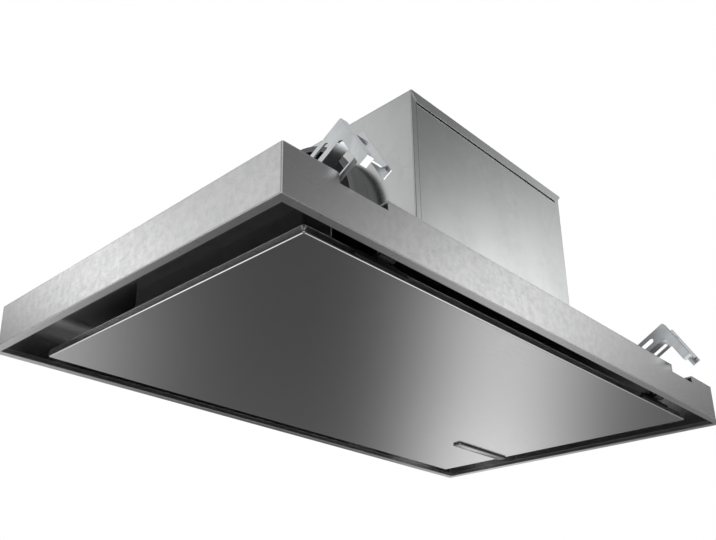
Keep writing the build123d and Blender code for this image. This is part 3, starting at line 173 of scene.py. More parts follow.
def build_zinc_bloom():
    """Frosted crystal patches of a hot-dipped zinc coat, and the soft haze over them."""
    tree, entry, leave = shader_group(
        "zinc_bloom",
        [
            ("Coordinates", "NodeSocketVector", (0, 0, 0)),
            ("Crystals", "NodeSocketFloat", 90.0),
            ("Clouds", "NodeSocketFloat", 14.0),
        ],
        [("Bloom", "NodeSocketFloat"), ("Haze", "NodeSocketFloat")],
    )
    inputs = {"Vector": entry["Coordinates"], "Scale": entry["Crystals"], "Detail": 2.0}
    noise_colour = new_node(tree, "ShaderNodeTexNoise", inputs).outputs[1]
    push = stretch(tree, noise_colour, (CRYSTAL_WARP, CRYSTAL_WARP, CRYSTAL_WARP))
    pushed = new_node(tree, "ShaderNodeVectorMath", {0: entry["Coordinates"], 1: push}, operation="ADD")
    inputs = {"Vector": pushed.outputs[0], "Scale": entry["Crystals"]}
    crystals = new_node(tree, "ShaderNodeTexVoronoi", inputs, feature="F1").outputs["Color"]
    haze = noise(tree, entry["Coordinates"], entry["Clouds"], detail=4.0, roughness=0.55)
    feed(tree, leave["Bloom"], new_node(tree, "ShaderNodeSeparateColor", {0: crystals}).outputs[0])
    feed(tree, leave["Haze"], spread(tree, haze, *HAZE_NOISE))
    return tree


def build_handling_marks():
    """Faint wiped smudges and short scuffs from handling."""
    tree, entry, leave = shader_group(
        "handling_marks",
        [("Coordinates", "NodeSocketVector", (0, 0, 0)), ("Size", "NodeSocketFloat", 6.0)],
        [("Smudge", "NodeSocketFloat"), ("Scuffs", "NodeSocketFloat")],
    )
    cloud = noise(tree, entry["Coordinates"], entry["Size"], detail=5.0, roughness=0.6, distortion=0.8)
    scratch = noise(tree, stretch(tree, entry["Coordinates"], SCUFF_CELLS), scale=1.0, detail=1.0)
    feed(tree, leave["Smudge"], spread(tree, cloud, *SMUDGE_NOISE))
    feed(tree, leave["Scuffs"], spread(tree, scratch, *SCUFF_NOISE))
    return tree


def build_settled_dust():
    """Dust that has settled on faces that look up."""
    tree, entry, leave = shader_group(
        "settled_dust",
        [("Coordinates", "NodeSocketVector", (0, 0, 0)), ("Amount", "NodeSocketFloat", 0.3)],
        [("Dust", "NodeSocketFloat")],
    )
    facing = new_node(tree, "ShaderNodeNewGeometry").outputs["Normal"]
    upward = spread(tree, axes_of(tree, facing)["Z"], *DUST_TILT)
    grains = noise(tree, entry["Coordinates"], scale=26.0, detail=6.0, roughness=0.7)
    patchy = calculate(tree, "MULTIPLY", upward, spread(tree, grains, *DUST_NOISE, to_low=DUST_LEAST))
    feed(tree, leave["Dust"], calculate(tree, "MULTIPLY", patchy, entry["Amount"], clamp=True))
    return tree


BRUSH_LINES = build_brush_lines()
ZINC_BLOOM = build_zinc_bloom()
HANDLING_MARKS = build_handling_marks()
SETTLED_DUST = build_settled_dust()


# ---------------------------------------------------------------- finishes
SHEET_EDGE = 0.5 * MM                   # radius of a zinc sheet's softened edges
MOULDED_EDGE = 0.6 * MM
EDGE_SAMPLES = 4
BLUE_SHARE = 1.6                        # a cool grey gains this much more blue than green
NOISE_MIDDLE = (0.3, 0.7)               # nearly all of a noise lies between these levels
DUST_AMOUNT = 0.12
FINE_GRAIN = 0.1 * MM                   # depth of a plating's pits or a moulding's grain


def new_finish(name, metallic, gloss=0.5):
    """A material, with its node tree and its object coordinates."""
    material = bpy.data.materials.new(name)
    material.use_nodes = True
    tree = material.node_tree
    surface = tree.nodes["Principled BSDF"]
    surface.inputs["Metallic"].default_value = metallic
    surface.inputs["Specular IOR Level"].default_value = gloss
    coordinates = new_node(tree, "ShaderNodeTexCoord").outputs["Object"]
    return material, tree, coordinates


def laid_on(material, colour, roughness, normal):
    """Gives a material's shader its colour, roughness and normal, and hands the material back."""
    tree = material.node_tree
    surface = tree.nodes["Principled BSDF"]
    feed(tree, surface.inputs["Base Color"], colour)
    feed(tree, surface.inputs["Roughness"], roughness)
    feed(tree, surface.inputs["Normal"], normal)
    return material


def soft_edge(tree, radius):
    """The surface's normal with edges rounded over a radius, or as it is where the radius is nought."""
    if not radius:
        return new_node(tree, "ShaderNodeNewGeometry").outputs["Normal"]
    return new_node(tree, "ShaderNodeBevel", {"Radius": radius}, samples=EDGE_SAMPLES).outputs[0]


def grey(level, cool=0.0):
    """A grey, or a slightly cool one, as a colour."""
    return (level, level * (1 + cool), level * (1 + BLUE_SHARE * cool), 1.0)


WALL_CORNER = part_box("canopy_walls")[1]         # the walls lie evenly round the middle
GROUND_STRIP = 3.0 * MM
GRINDING_LINES = (1500.0, 1500.0, 30.0)
GROUND_SHADE = 0.6
GROUND_ROUGHNESS = 0.08


def ground_corner(tree, coordinates):
    """Mask of the strips beside the wall corners, where the welds were ground upright."""
    axes = axes_of(tree, coordinates)

    def near(axis, corner):
        off_middle = calculate(tree, "ABSOLUTE", axes[axis])
        return spread(tree, off_middle, corner - GROUND_STRIP, corner - GROUND_STRIP / 3)

    return calculate(tree, "MULTIPLY", near("X", WALL_CORNER.x), near("Y", WALL_CORNER.y))


def ground_upright(tree, coordinates, colour, rough, base):
    """Colour and roughness with the grinding lines laid beside the wall corners."""
    ground = ground_corner(tree, coordinates)
    lines = placed_group(tree, BRUSH_LINES, {"Coordinates": coordinates, "Lines": GRINDING_LINES})
    lined = calculate(tree, "MULTIPLY", ground, lines["Streaks"])
    rougher = calculate(tree, "ADD", rough, calculate(tree, "MULTIPLY", ground, GROUND_ROUGHNESS))
    return between(tree, lined, colour, grey(base * GROUND_SHADE)), rougher


SATIN = {"Crystals": 300.0, "Clouds": 150.0}    # fine haze on brushed steel, in cells to a metre
SATIN_SHADE = 0.72                              # how dark the haze is against the sheet
SATIN_COOL = 0.01
MATT_SHARE = 1 / 12                             # change in roughness for a mottling of 1
STREAK_ROUGHNESS = 0.02
STREAK_COOL = 0.004


def stainless(
    name, lines, base, roughness, depth=0.01, mottle=0.19, contrast=0.03, edge=0.4 * MM, corners=False
):
    """Fine-brushed stainless sheet; lines says how many brush lines to a metre along each axis."""
    material, tree, coordinates = new_finish(name, metallic=1.0)
    inputs = {"Coordinates": coordinates, "Lines": lines, "Depth": depth, "Normal": soft_edge(tree, edge)}
    brushed = placed_group(tree, BRUSH_LINES, inputs)
    haze = placed_group(tree, ZINC_BLOOM, {"Coordinates": coordinates, **SATIN})["Haze"]
    darker, paler = grey(base * (1 - contrast)), grey(base * (1 + contrast), STREAK_COOL)
    fine = between(tree, brushed["Streaks"], darker, paler)
    hazed = calculate(tree, "MULTIPLY", haze, mottle)
    colour = between(tree, hazed, fine, grey(base * SATIN_SHADE, SATIN_COOL))
    uneven = mottle * MATT_SHARE
    matt = spread(tree, haze, 0.0, 1.0, roughness - uneven, roughness + uneven)
    streaky = spread(tree, brushed["Streaks"], *NOISE_MIDDLE, -STREAK_ROUGHNESS, STREAK_ROUGHNESS)
    rough = calculate(tree, "ADD", matt, streaky)
    if corners:
        colour, rough = ground_upright(tree, coordinates, colour, rough, base)
    return laid_on(material, colour, rough, brushed["Normal"])


# Dark lines painted along the joints where one sheet ends on another: painted shade in the seams
SEAM_SHADE_WIDTH = (0.2 * MM, 0.6 * MM)              # dark up to the first, clear from the second
SEAM_PAINTED_SHADE = grey(0.30)


def painted_seam_shade_mask(tree, coordinates, places):
    """Mask of the thin dark lines of painted shade at the places along X where one sheet ends on another.
    """
    along = axes_of(tree, coordinates)["X"]
    mask = 0.0
    for place in places:
        off = calculate(tree, "ABSOLUTE", calculate(tree, "SUBTRACT", along, place))
        mask = calculate(tree, "MAXIMUM", spread(tree, off, *SEAM_SHADE_WIDTH, 1.0, 0.0), mask)
    return mask


ZINC_CRYSTALS = {"Crystals": 95.0, "Clouds": 16.0}      # cells to a metre
ROLLING_DEPTH = 0.02
ROLLING_SHARE = 0.3
ROLLING_SHADE = 0.88
ZINC_COOL = (0.008, 0.01)
ZINC_UNEVEN = (-0.02, 0.03)                     # change in roughness where the haze is thin, and full
METAL_DUST = (0.42, 0.41, 0.40, 1.0)
DUST_ROUGHNESS = 0.3


def galvanised(name, base, roughness, contrast, lines, joints=()):
    """Zinc-coated sheet with a frosted bloom, faint rolling lines, dust, and dark lines of painted shade
    at the joints.
    """
    material, tree, coordinates = new_finish(name, metallic=1.0)
    bloom = placed_group(tree, ZINC_BLOOM, {"Coordinates": coordinates, **ZINC_CRYSTALS})
    edge = soft_edge(tree, SHEET_EDGE)
    inputs = {"Coordinates": coordinates, "Lines": lines, "Depth": ROLLING_DEPTH, "Normal": edge}
    rolled = placed_group(tree, BRUSH_LINES, inputs)
    dust = placed_group(tree, SETTLED_DUST, {"Coordinates": coordinates, "Amount": DUST_AMOUNT})["Dust"]
    patches = calculate(tree, "MULTIPLY", bloom["Bloom"], bloom["Haze"])
    darker = grey(base * (1 - contrast), ZINC_COOL[0])
    paler = grey(base * (1 + contrast), ZINC_COOL[1])
    frosted = between(tree, patches, darker, paler)
    rolling = spread(tree, rolled["Streaks"], *NOISE_MIDDLE, 0.0, ROLLING_SHARE)
    lined = between(tree, rolling, frosted, grey(base * ROLLING_SHADE, ZINC_COOL[1]))
    colour = between(tree, dust, lined, METAL_DUST)
    if joints:
        colour = between(tree, painted_seam_shade_mask(tree, coordinates, joints), colour, SEAM_PAINTED_SHADE)
    smooth, frosty = roughness + ZINC_UNEVEN[0], roughness + ZINC_UNEVEN[1]
    rough = spread(tree, bloom["Haze"], 0.0, 1.0, smooth, frosty)
    rough = calculate(tree, "ADD", rough, calculate(tree, "MULTIPLY", dust, DUST_ROUGHNESS))
    return laid_on(material, colour, rough, rolled["Normal"])


PLATE_CLOUDS = 38.0                             # to a metre
PLATE_SHADES = (1.02, 0.94)
PLATE_UNEVEN = (-0.03, 0.04)
PLATE_PITS = 900.0                              # to a metre
PIT_STRENGTH = 0.06
NICK_SHARE = 0.5
NICK_SHADE = 0.6


def plated(name, base, roughness, cool):
    """Plated or plain bright steel, with soft clouds and barrel-tumbling nicks."""
    material, tree, coordinates = new_finish(name, metallic=1.0)
    handled = placed_group(tree, HANDLING_MARKS, {"Coordinates": coordinates, "Size": PLATE_CLOUDS})
    pits = noise(tree, coordinates, PLATE_PITS, detail=2.0)
    normal = relief(tree, pits, PIT_STRENGTH, FINE_GRAIN, soft_edge(tree, SHEET_EDGE))
    paler, darker = (grey(base * shade, cool) for shade in PLATE_SHADES)
    clouded = between(tree, handled["Smudge"], paler, darker)
    nicks = calculate(tree, "MULTIPLY", handled["Scuffs"], NICK_SHARE)
    colour = between(tree, nicks, clouded, grey(base * NICK_SHADE))
    smooth, dull = roughness + PLATE_UNEVEN[0], roughness + PLATE_UNEVEN[1]
    rough = spread(tree, handled["Smudge"], 0.0, 1.0, smooth, dull)
    return laid_on(material, colour, rough, normal)


MOULDED_SMUDGES = 20.0                          # to a metre
SMUDGE_SHARE = 0.5
WORN_GAIN, WORN_LIFT = 1.4, 0.002               # how much paler a worn moulding is
GRAIN_UNEVEN = (-0.06, 0.08)
MOULDED_DUST = (0.35, 0.34, 0.33, 1.0)


def moulded(name, colour, roughness, grain, depth, gloss=0.5):
    """Moulded plastic, rubber or casting with spark-eroded grain and a little dust."""
    material, tree, coordinates = new_finish(name, metallic=0.0, gloss=gloss)
    grains = noise(tree, coordinates, grain, detail=3.0)
    normal = relief(tree, grains, depth, FINE_GRAIN, soft_edge(tree, MOULDED_EDGE))
    dust = placed_group(tree, SETTLED_DUST, {"Coordinates": coordinates, "Amount": DUST_AMOUNT})["Dust"]
    handled = placed_group(tree, HANDLING_MARKS, {"Coordinates": coordinates, "Size": MOULDED_SMUDGES})
    paler = tuple(channel * WORN_GAIN + WORN_LIFT for channel in colour[:3]) + (1.0,)
    worn = between(tree, calculate(tree, "MULTIPLY", handled["Smudge"], SMUDGE_SHARE), colour, paler)
    shiny, dull = roughness + GRAIN_UNEVEN[0], roughness + GRAIN_UNEVEN[1]
    rough = spread(tree, grains, *NOISE_MIDDLE, shiny, dull)
    return laid_on(material, between(tree, dust, worn, MOULDED_DUST), rough, normal)


TRACK_CELLS = 160.0                             # to a metre
TRACK_EDGE = (0.32, 0.36)                       # distance from a cell's middle where its track ends
TRACK_GREEN, BOARD_GREEN = (0.05, 0.24, 0.10, 1.0), (0.03, 0.15, 0.06, 1.0)
TRACK_DEPTH = 0.05 * MM
TRACK_STRENGTH = 0.3
BOARD_ROUGHNESS = 0.35


def lacquered_board():
    """Green solder resist with copper tracks showing faintly through it."""
    material, tree, coordinates = new_finish("lacquered_board", metallic=0.0)
    inputs = {"Vector": coordinates, "Scale": TRACK_CELLS}
    cells = new_node(tree, "ShaderNodeTexVoronoi", inputs, feature="F1", distance="MANHATTAN")
    tracks = spread(tree, cells.outputs["Distance"], *TRACK_EDGE)
    normal = relief(tree, tracks, TRACK_STRENGTH, TRACK_DEPTH, soft_edge(tree, 0.0))
    colour = between(tree, tracks, TRACK_GREEN, BOARD_GREEN)
    return laid_on(material, colour, BOARD_ROUGHNESS, normal)


# Lines to a metre along each axis
WALL_BRUSHING = (60.0, 60.0, 1100.0)
PANEL_BRUSHING = (30.0, 480.0, 480.0)
DECK_BRUSHING = (6.0, 500.0, 500.0)
FLANGE_BRUSHING = (120.0, 120.0, 900.0)
HOUSING_ROLLING = (55.0, 55.0, 9.0)
INNER_ROLLING = (2.0, 60.0, 60.0)

# The outlet panel's upright joints, measured back from its face; dark lines of painted shade are drawn at
# them
OUTLET_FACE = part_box("outlet_panel")[0].x
OUTLET_SIDE_END = 9.5 * MM              # where its folded sides end on the housing's shell
OUTLET_FOLD_LINE = 0.6 * MM             # where they bend away from its face
OUTLET_JOINTS = (OUTLET_FACE + OUTLET_SIDE_END, OUTLET_FACE + OUTLET_FOLD_LINE)

WALL_STEEL = stainless("brushed_wall", WALL_BRUSHING, base=0.60, roughness=0.25, corners=True)
PANEL_STEEL = stainless(
    "brushed_panel", PANEL_BRUSHING, base=0.56, roughness=0.20, depth=0.004, mottle=0.06, edge=0.0
)
DECK_STEEL = stainless(
    "plain_deck", DECK_BRUSHING, base=0.58, roughness=0.24, mottle=0.1, contrast=0.01
)
FLANGE_STEEL = stainless("brushed_flange", FLANGE_BRUSHING, base=0.64, roughness=0.30, edge=1.0 * MM)
BAR_FACE = stainless(
    "bar_face", PANEL_BRUSHING, base=0.52, roughness=0.22, mottle=0.2, contrast=0.02, edge=0.0
)
SHEET_ZINC = galvanised(
    "galvanised_sheet", base=0.66, roughness=0.21, contrast=0.035, lines=HOUSING_ROLLING
)
# The outlet sheet carries the dark lines of painted shade at its joints
OUTLET_ZINC = galvanised(
    "outlet_sheet_seam_shade", base=0.66, roughness=0.21, contrast=0.035, lines=HOUSING_ROLLING, joints=OUTLET_JOINTS
)
INNER_ZINC = galvanised(
    "galvanised_inner", base=0.60, roughness=0.42, contrast=0.12, lines=INNER_ROLLING
)
# Near-black zinc for the clamp trays: painted shade, standing for the deep shadow inside the notches
TRAY_PAINTED_SHADE_ZINC = galvanised(
    "galvanised_painted_shade", base=0.06, roughness=0.5, contrast=0.1, lines=INNER_ROLLING
)
# Dark zinc for the duct collar: painted shade, darkening the tube to the shade and dark reflection it
# shows
COLLAR_PAINTED_SHADE_ZINC = galvanised(
    "collar_painted_shade", base=0.13, roughness=0.24, contrast=0.05, lines=INNER_ROLLING
)
ZINC_PLATE = plated("zinc_plate", base=0.64, roughness=0.22, cool=0.035)
BRIGHT_STEEL = plated("bright_steel", base=0.66, roughness=0.22, cool=0.0)
SATIN_ALUMINIUM = plated("satin_aluminium", base=0.78, roughness=0.34, cool=0.004)
CAST_ALUMINIUM = moulded(
    "cast_housing", (0.36, 0.37, 0.38, 1.0), roughness=0.5, grain=700.0, depth=0.4
)
BLACK_PLASTIC = moulded(
    "black_moulding", (0.012, 0.012, 0.013, 1.0), roughness=0.5, grain=1500.0, depth=0.2, gloss=0.22
)
BLACK_RUBBER = moulded(
    "black_rubber", (0.018, 0.018, 0.018, 1.0), roughness=0.7, grain=2200.0, depth=0.3, gloss=0.3
)
MARK_PRINT = moulded("mark_print", (0.22, 0.22, 0.23, 1.0), roughness=0.5, grain=400.0, depth=0.05)
GREEN_BOARD = lacquered_board()

SLOT_FINISHES = {
    "stainless_frame": WALL_STEEL,
    "galvanised_sheet": INNER_ZINC,
    "zinc_hardware": ZINC_PLATE,
    "aluminium": SATIN_ALUMINIUM,
    "cast_motor": CAST_ALUMINIUM,
    "control_glass": BLACK_PLASTIC,
    "black_plastic": BLACK_PLASTIC,
    "green_board": GREEN_BOARD,
    "rubber": BLACK_RUBBER,
}
NODE_FINISHES = {
    "ceiling_flange": FLANGE_STEEL,
    "cover_panel": PANEL_STEEL,
    "filter_deck": DECK_STEEL,
    "housing_shell": SHEET_ZINC,
    "outlet_panel": OUTLET_ZINC,
    "housing_lid": SHEET_ZINC,
    "plenum_top": SHEET_ZINC,
    "stiffening_lips": SHEET_ZINC,
    # the duct collar takes the darkened zinc of painted shade
    "duct_collar": COLLAR_PAINTED_SHADE_ZINC,
    # the clamp trays take the near-black painted shade
    "clamp_trays": TRAY_PAINTED_SHADE_ZINC,
    "motor_shaft": BRIGHT_STEEL,
    "hinge_pins": BRIGHT_STEEL,
    "flap_pin": BRIGHT_STEEL,
}


def finish_cad_nodes():
    """Gives each carried-over sub-part the finish of its slot, or one of its own."""
    for part in frame["record"]["subparts"]:
        name = part["node"]
        node = NODES[name]
        node.data.materials.clear()
        node.data.materials.append(NODE_FINISHES.get(name, SLOT_FINISHES[part["material_slot"]]))


# ---------------------------------------------------------------- making pieces
MERGE_GAP = 1e-6                                # points nearer than this, in metres, become one
NEARLY = 0.9                                    # share of a direction that counts as along an axis
ROUND_STEPS = 4
SMALL_ROUND_STEPS = 2


def finished(bm, name, materials, body, replaced=(), smooth_angle=35.0):
    """Turns a bmesh into a piece at the origin that rides on its body; smooth_angle is in degrees."""
    bmesh.ops.remove_doubles(bm, verts=bm.verts, dist=MERGE_GAP)
    bmesh.ops.recalc_face_normals(bm, faces=bm.faces)
    mesh = bpy.data.meshes.new(name)
    bm.to_mesh(mesh)
    bm.free()
    for material in materials:
        mesh.materials.append(material)
    mesh.shade_smooth()
    mesh.set_sharp_from_angle(angle=math.radians(smooth_angle))
    piece = bpy.data.objects.new(name, mesh)
    bpy.context.scene.collection.objects.link(piece)
    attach(piece, body)
    if replaced:
        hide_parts(*replaced)
    return piece


def box_of(bm, low, high):
    """A six-sided block between two corners; returns its vertices."""
    made = bmesh.ops.create_cube(bm, size=1.0)["verts"]
    low, high = Vector(low), Vector(high)
    bmesh.ops.scale(bm, vec=high - low, verts=made)
    bmesh.ops.translate(bm, vec=(high + low) / 2, verts=made)
    return made


def edges_of(verts, keep=lambda middle, way: True):
    """The edges between these vertices for which keep(middle, way) holds."""
    chosen = set(verts)
    links = dict.fromkeys(edge for vert in verts for edge in vert.link_edges)     # once each, in order
    kept = []
    for edge in links:
        first, second = edge.verts
        inside = first in chosen and second in chosen
        if inside and keep((first.co + second.co) / 2, (second.co - first.co).normalized()):
            kept.append(edge)
    return kept


def level_edges(bm, height):
    """The edges that lie level at a height."""
    return [edge for edge in bm.edges if all(abs(vert.co.z - height) < MERGE_GAP for vert in edge.verts)]


def round_over(bm, edges, radius, segments):
    """Rounds edges over a radius."""
    bmesh.ops.bevel(
        bm, geom=edges, offset=radius, offset_type="OFFSET", affect="EDGES", segments=segments,
        profile=0.5, material=-1, clamp_overlap=True,
    )


def is_upright(middle, way):
    """Whether an edge runs straight up."""
    return abs(way.z) > NEARLY


def turned(bm, profile, steps):
    """Spins a profile of (radius, height) pairs into a closed turned form; returns its vertices."""
    before = set(bm.verts)
    verts = [bm.verts.new((radius, 0, height)) for radius, height in profile]
    edges = [bm.edges.new(pair) for pair in zip(verts, verts[1:])]
    bmesh.ops.spin(
        bm, geom=verts + edges, cent=(0, 0, 0), axis=(0, 0, 1), angle=2 * math.pi, steps=steps,
        use_merge=True, dvec=(0, 0, 0), use_normal_flip=False, use_duplicate=False,
    )
    made = [vert for vert in bm.verts if vert not in before]
    bmesh.ops.remove_doubles(bm, verts=made, dist=MERGE_GAP)
    return [vert for vert in bm.verts if vert not in before]


# ---------------------------------------------------------------- cover panel and its touch bar
PANEL_SHEET = 1.0 * MM
PANEL_CORNER = 2.6 * MM
PANEL_FOLD = 1.7 * MM
FLAT_BORDER = PANEL_FOLD / 4   # narrow faces round the flats, so that the folds' shading stops there
PANEL_EDGE_AREA = 0.001        # square metres; the flat and the edges are above it, the folds below


def panel_skin():
    """Brushed tray folded from one sheet, with rounded folds and open on its upper side."""
    low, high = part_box("cover_panel")
    bm = bmesh.new()
    verts = box_of(bm, low, high)
    top = [face for face in bm.faces if face.normal.z > NEARLY]
    bmesh.ops.delete(bm, geom=top, context="FACES_ONLY")
    round_over(bm, edges_of(verts, is_upright), PANEL_CORNER, ROUND_STEPS)
    round_over(bm, level_edges(bm, low.z), PANEL_FOLD, ROUND_STEPS)
    broad = [face for face in bm.faces if face.calc_area() > PANEL_EDGE_AREA]
    bmesh.ops.inset_individual(bm, faces=broad, thickness=FLAT_BORDER, depth=0.0)
    skin = finished(bm, "panel_skin", [PANEL_STEEL], "cover_panel", ["cover_panel"])
    sheet = skin.modifiers.new("sheet", "SOLIDIFY")
    sheet.thickness = PANEL_SHEET
    sheet.offset = -1.0


PANEL_FACE = 0.0               # height of the panel's face, which the bar stands out of
BAR_PAINTED_SHADOW = 0.7 * MM            # black band between the panel and the metal cap: painted shadow of the gap under the cap
BAR_CORNER = 1.5 * MM
BAR_EDGE = 0.5 * MM
MARK_LIFT = 0.03 * MM
MARK_SPOTS = (-0.86, -0.62, -0.30, 0.02, 0.34, 0.66)    # shares of half the bar, from its middle
MARK_LINE = 0.45 * MM
MARK_BAR = 3.4 * MM
MARK_RING = 2.2 * MM
MARK_TICK = 1.6 * MM           # from the ring's middle to that of the tick across its rim
MARK_LEVELS = (2.24 * MM, 3.84 * MM, 5.44 * MM)
RING_STEPS = 28


def touch_bar():
    """Satin metal cap on a thin black band of painted shadow, raised from the panel."""
    low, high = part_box("control_bar")
    middle_x = (low.x + high.x) / 2
    bm = bmesh.new()
    face = low.z + MARK_LIFT
    verts = box_of(bm, (low.x, low.y, face), (high.x, high.y, PANEL_FACE))
    free_end = edges_of(verts, lambda middle, way: is_upright(middle, way) and middle.x < middle_x)
    round_over(bm, free_end, BAR_CORNER, ROUND_STEPS)
    round_over(bm, level_edges(bm, face), BAR_EDGE, SMALL_ROUND_STEPS)
    # The band next to the panel is black: painted shadow of the gap between the cap and the panel
    cap_starts = PANEL_FACE - BAR_PAINTED_SHADOW
    everything = bm.verts[:] + bm.edges[:] + bm.faces[:]
    bmesh.ops.bisect_plane(bm, geom=everything, plane_co=(0, 0, cap_starts), plane_no=(0, 0, 1))
    for facet in bm.faces:
        facet.material_index = 1 if facet.calc_center_median().z < cap_starts else 0
    finished(bm, "touch_bar", [BLACK_PLASTIC, BAR_FACE], "cover_panel", ["control_bar"])


def touch_marks():
    """Printed marks of the touch keys: a ring with a tick, a minus, three level strokes and a plus."""
    low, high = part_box("control_bar")
    middle_x, half = (low.x + high.x) / 2, (high.x - low.x) / 2
    centre_y = (low.y + high.y) / 2
    under, over = low.z, low.z + MARK_LIFT
    bm = bmesh.new()

    def stroke(x, y, length, width):
        box_of(bm, (x - length / 2, y - width / 2, under), (x + length / 2, y + width / 2, over))

    def ring(x, outer, inner):
        outline = [(outer, under), (outer, over), (inner, over), (inner, under), (outer, under)]
        bmesh.ops.translate(bm, vec=(x, centre_y, 0), verts=turned(bm, outline, RING_STEPS))

    ring_at, minus_at, *levels_at, plus_at = [middle_x + share * half for share in MARK_SPOTS]
    ring(ring_at, MARK_RING, MARK_RING - MARK_LINE)
    stroke(ring_at, centre_y + MARK_TICK, MARK_LINE, MARK_RING)
    stroke(minus_at, centre_y, MARK_BAR, MARK_LINE)
    for at, length in zip(levels_at, MARK_LEVELS):
        stroke(at, centre_y, length, MARK_LINE)
    stroke(plus_at, centre_y, MARK_BAR, MARK_LINE)
    stroke(plus_at, centre_y, MARK_LINE, MARK_BAR)
    finished(bm, "touch_marks", [MARK_PRINT], "cover_panel")


# ---------------------------------------------------------------- fasteners
def thread(bm, crest, root, pitch, low, high, steps):
    """One helical thread between two heights, made by a spin that climbs one pitch each turn."""
    turns = max(1, int((high - low) / pitch))
    pitch = (high - low) / (turns + 1)
    profile = ((root, low), (crest, low + 0.5 * pitch), (root, low + pitch))
    start = [bm.verts.new((radius, 0, height)) for radius, height in profile]
    edges = [bm.edges.new(pair) for pair in zip(start, start[1:])]
    bmesh.ops.spin(
        bm, geom=start + edges, cent=(0, 0, 0), axis=(0, 0, 1), angle=2 * math.pi * turns,
        steps=steps * turns, use_merge=False, dvec=(0, 0, pitch / steps), use_normal_flip=False,
        use_duplicate=False,
    )


HEAD_GRID = 7                  # squares across the crown; the cross is one of them wide
CROWN_SHARE = 0.55             # flat part of the head's radius
CROSS_HALF = 0.4               # squares: what lies nearer the crown's middle line is in the cross
CROSS_STOP = 0.6               # squares that the cross stops short of the crown's rim
CROSS_DEPTH = 0.55             # of the head's height
CROSS_TAPER = 0.72             # the cross narrows to this share at its bottom
HEAD_RIM = ((0.86, 0.8), (1.0, 0.4), (1.0, 0.0))        # shares of radius and height, downwards


def crossed_crown(bm, crown, height):
    """The flat crown of a pan head, with a tapered cross pressed into it."""
    grid = bmesh.ops.create_grid(bm, x_segments=HEAD_GRID, y_segments=HEAD_GRID, size=crown)["verts"]
    bmesh.ops.translate(bm, vec=(0, 0, height), verts=grid)
    cell = 2 * crown / HEAD_GRID
    arm = (HEAD_GRID // 2 - CROSS_STOP) * cell
    cross = []
    for face in dict.fromkeys(face for vert in grid for face in vert.link_faces):
        aside, out = sorted(abs(share) for share in face.calc_center_median()[:2])
        if aside < CROSS_HALF * cell and out < arm:
            cross.append(face)
    pressed = bmesh.ops.extrude_face_region(bm, geom=cross)["geom"]
    bmesh.ops.delete(bm, geom=cross, context="FACES_ONLY")
    sunk = [item for item in pressed if isinstance(item, bmesh.types.BMVert)]
    bmesh.ops.translate(bm, vec=(0, 0, -CROSS_DEPTH * height), verts=sunk)
    bmesh.ops.scale(bm, vec=(CROSS_TAPER, CROSS_TAPER, 1.0), verts=sunk)


SCREW_HEAD = (4.0 * MM, 2.2 * MM)      # radius and height
SCREW_CREST = 2.0 * MM
SCREW_ROOT = 0.72 * SCREW_CREST
SCREW_PITCH = 1.4 * MM
SCREW_REACH = 5.0 * MM
SCREW_STEPS = 14
SCREW_INSET = 8.0 * MM
SCREW_PLACES = (-0.75, 0.0, 0.75)      # shares of half the housing's length


def pan_screw(bm, x, y, seat):
    """Pan-head screw: a crossed crown bridged to its round rim, and a threaded shank."""
    before = set(bm.verts)
    radius, height = SCREW_HEAD
    crossed_crown(bm, CROWN_SHARE * radius, height)
    loops = [[edge for edge in bm.edges if edge.is_boundary and edge.verts[0] not in before]]
    corners = 4 * HEAD_GRID
    for out, up in HEAD_RIM:
        made = bmesh.ops.create_circle(bm, segments=corners, radius=out * radius, cap_ends=False)
        ring = made["verts"]
        bmesh.ops.translate(bm, vec=(0, 0, up * height), verts=ring)
        loops.append(edges_of(ring))
    for inner, outer in zip(loops, loops[1:]):
        bmesh.ops.bridge_loops(bm, edges=inner + outer)
    thread(bm, SCREW_CREST, SCREW_ROOT, SCREW_PITCH, -SCREW_REACH, 0.0, SCREW_STEPS)
    screw = [vert for vert in bm.verts if vert not in before]
    bmesh.ops.translate(bm, vec=(x, y, seat), verts=screw)


def foot_screws():
    """Screws that hold the blower housing's foot to the frame, driven down from inside it."""
    low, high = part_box("housing_shell")
    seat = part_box("stiffening_lips")[1].z
    bm = bmesh.new()
    for share in SCREW_PLACES:
        for y in (low.y + SCREW_INSET, high.y - SCREW_INSET):
            pan_screw(bm, share * high.x, y, seat)
    finished(bm, "foot_screws", [ZINC_PLATE], "hood_frame")


def solid_boxes(node):
    """The low and high corner of each separate solid of a node."""
    bm = bmesh.new()
    bm.from_mesh(NODES[node].data)
    bmesh.ops.remove_doubles(bm, verts=bm.verts, dist=MERGE_GAP)
    reached = set()
    boxes = []
    for first in bm.verts:
        if first in reached:
            continue
        reached.add(first)
        stack = [first]
        low, high = first.co.copy(), first.co.copy()
        while stack:
            vert = stack.pop()
            for axis in range(3):
                low[axis] = min(low[axis], vert.co[axis])
                high[axis] = max(high[axis], vert.co[axis])
            beside = [edge.other_vert(vert) for edge in vert.link_edges]
            fresh = [other for other in beside if other not in reached]
            reached.update(fresh)
            stack.extend(fresh)
        boxes.append((low, high))
    bm.free()
    return boxes


HAMMER_HEAD = 6.0 * MM
HAMMER_EDGE = 0.8 * MM
BOLT_CREST = 3.0 * MM
BOLT_ROOT = 2.5 * MM
BOLT_PITCH = 1.0 * MM
BOLT_TIP = (2.4 * MM, 2.0 * MM)        # radius and height of the plain tip
BOLT_SUNK = 0.3 * MM                   # how far the thread runs into the head
BOLT_STEPS = 16


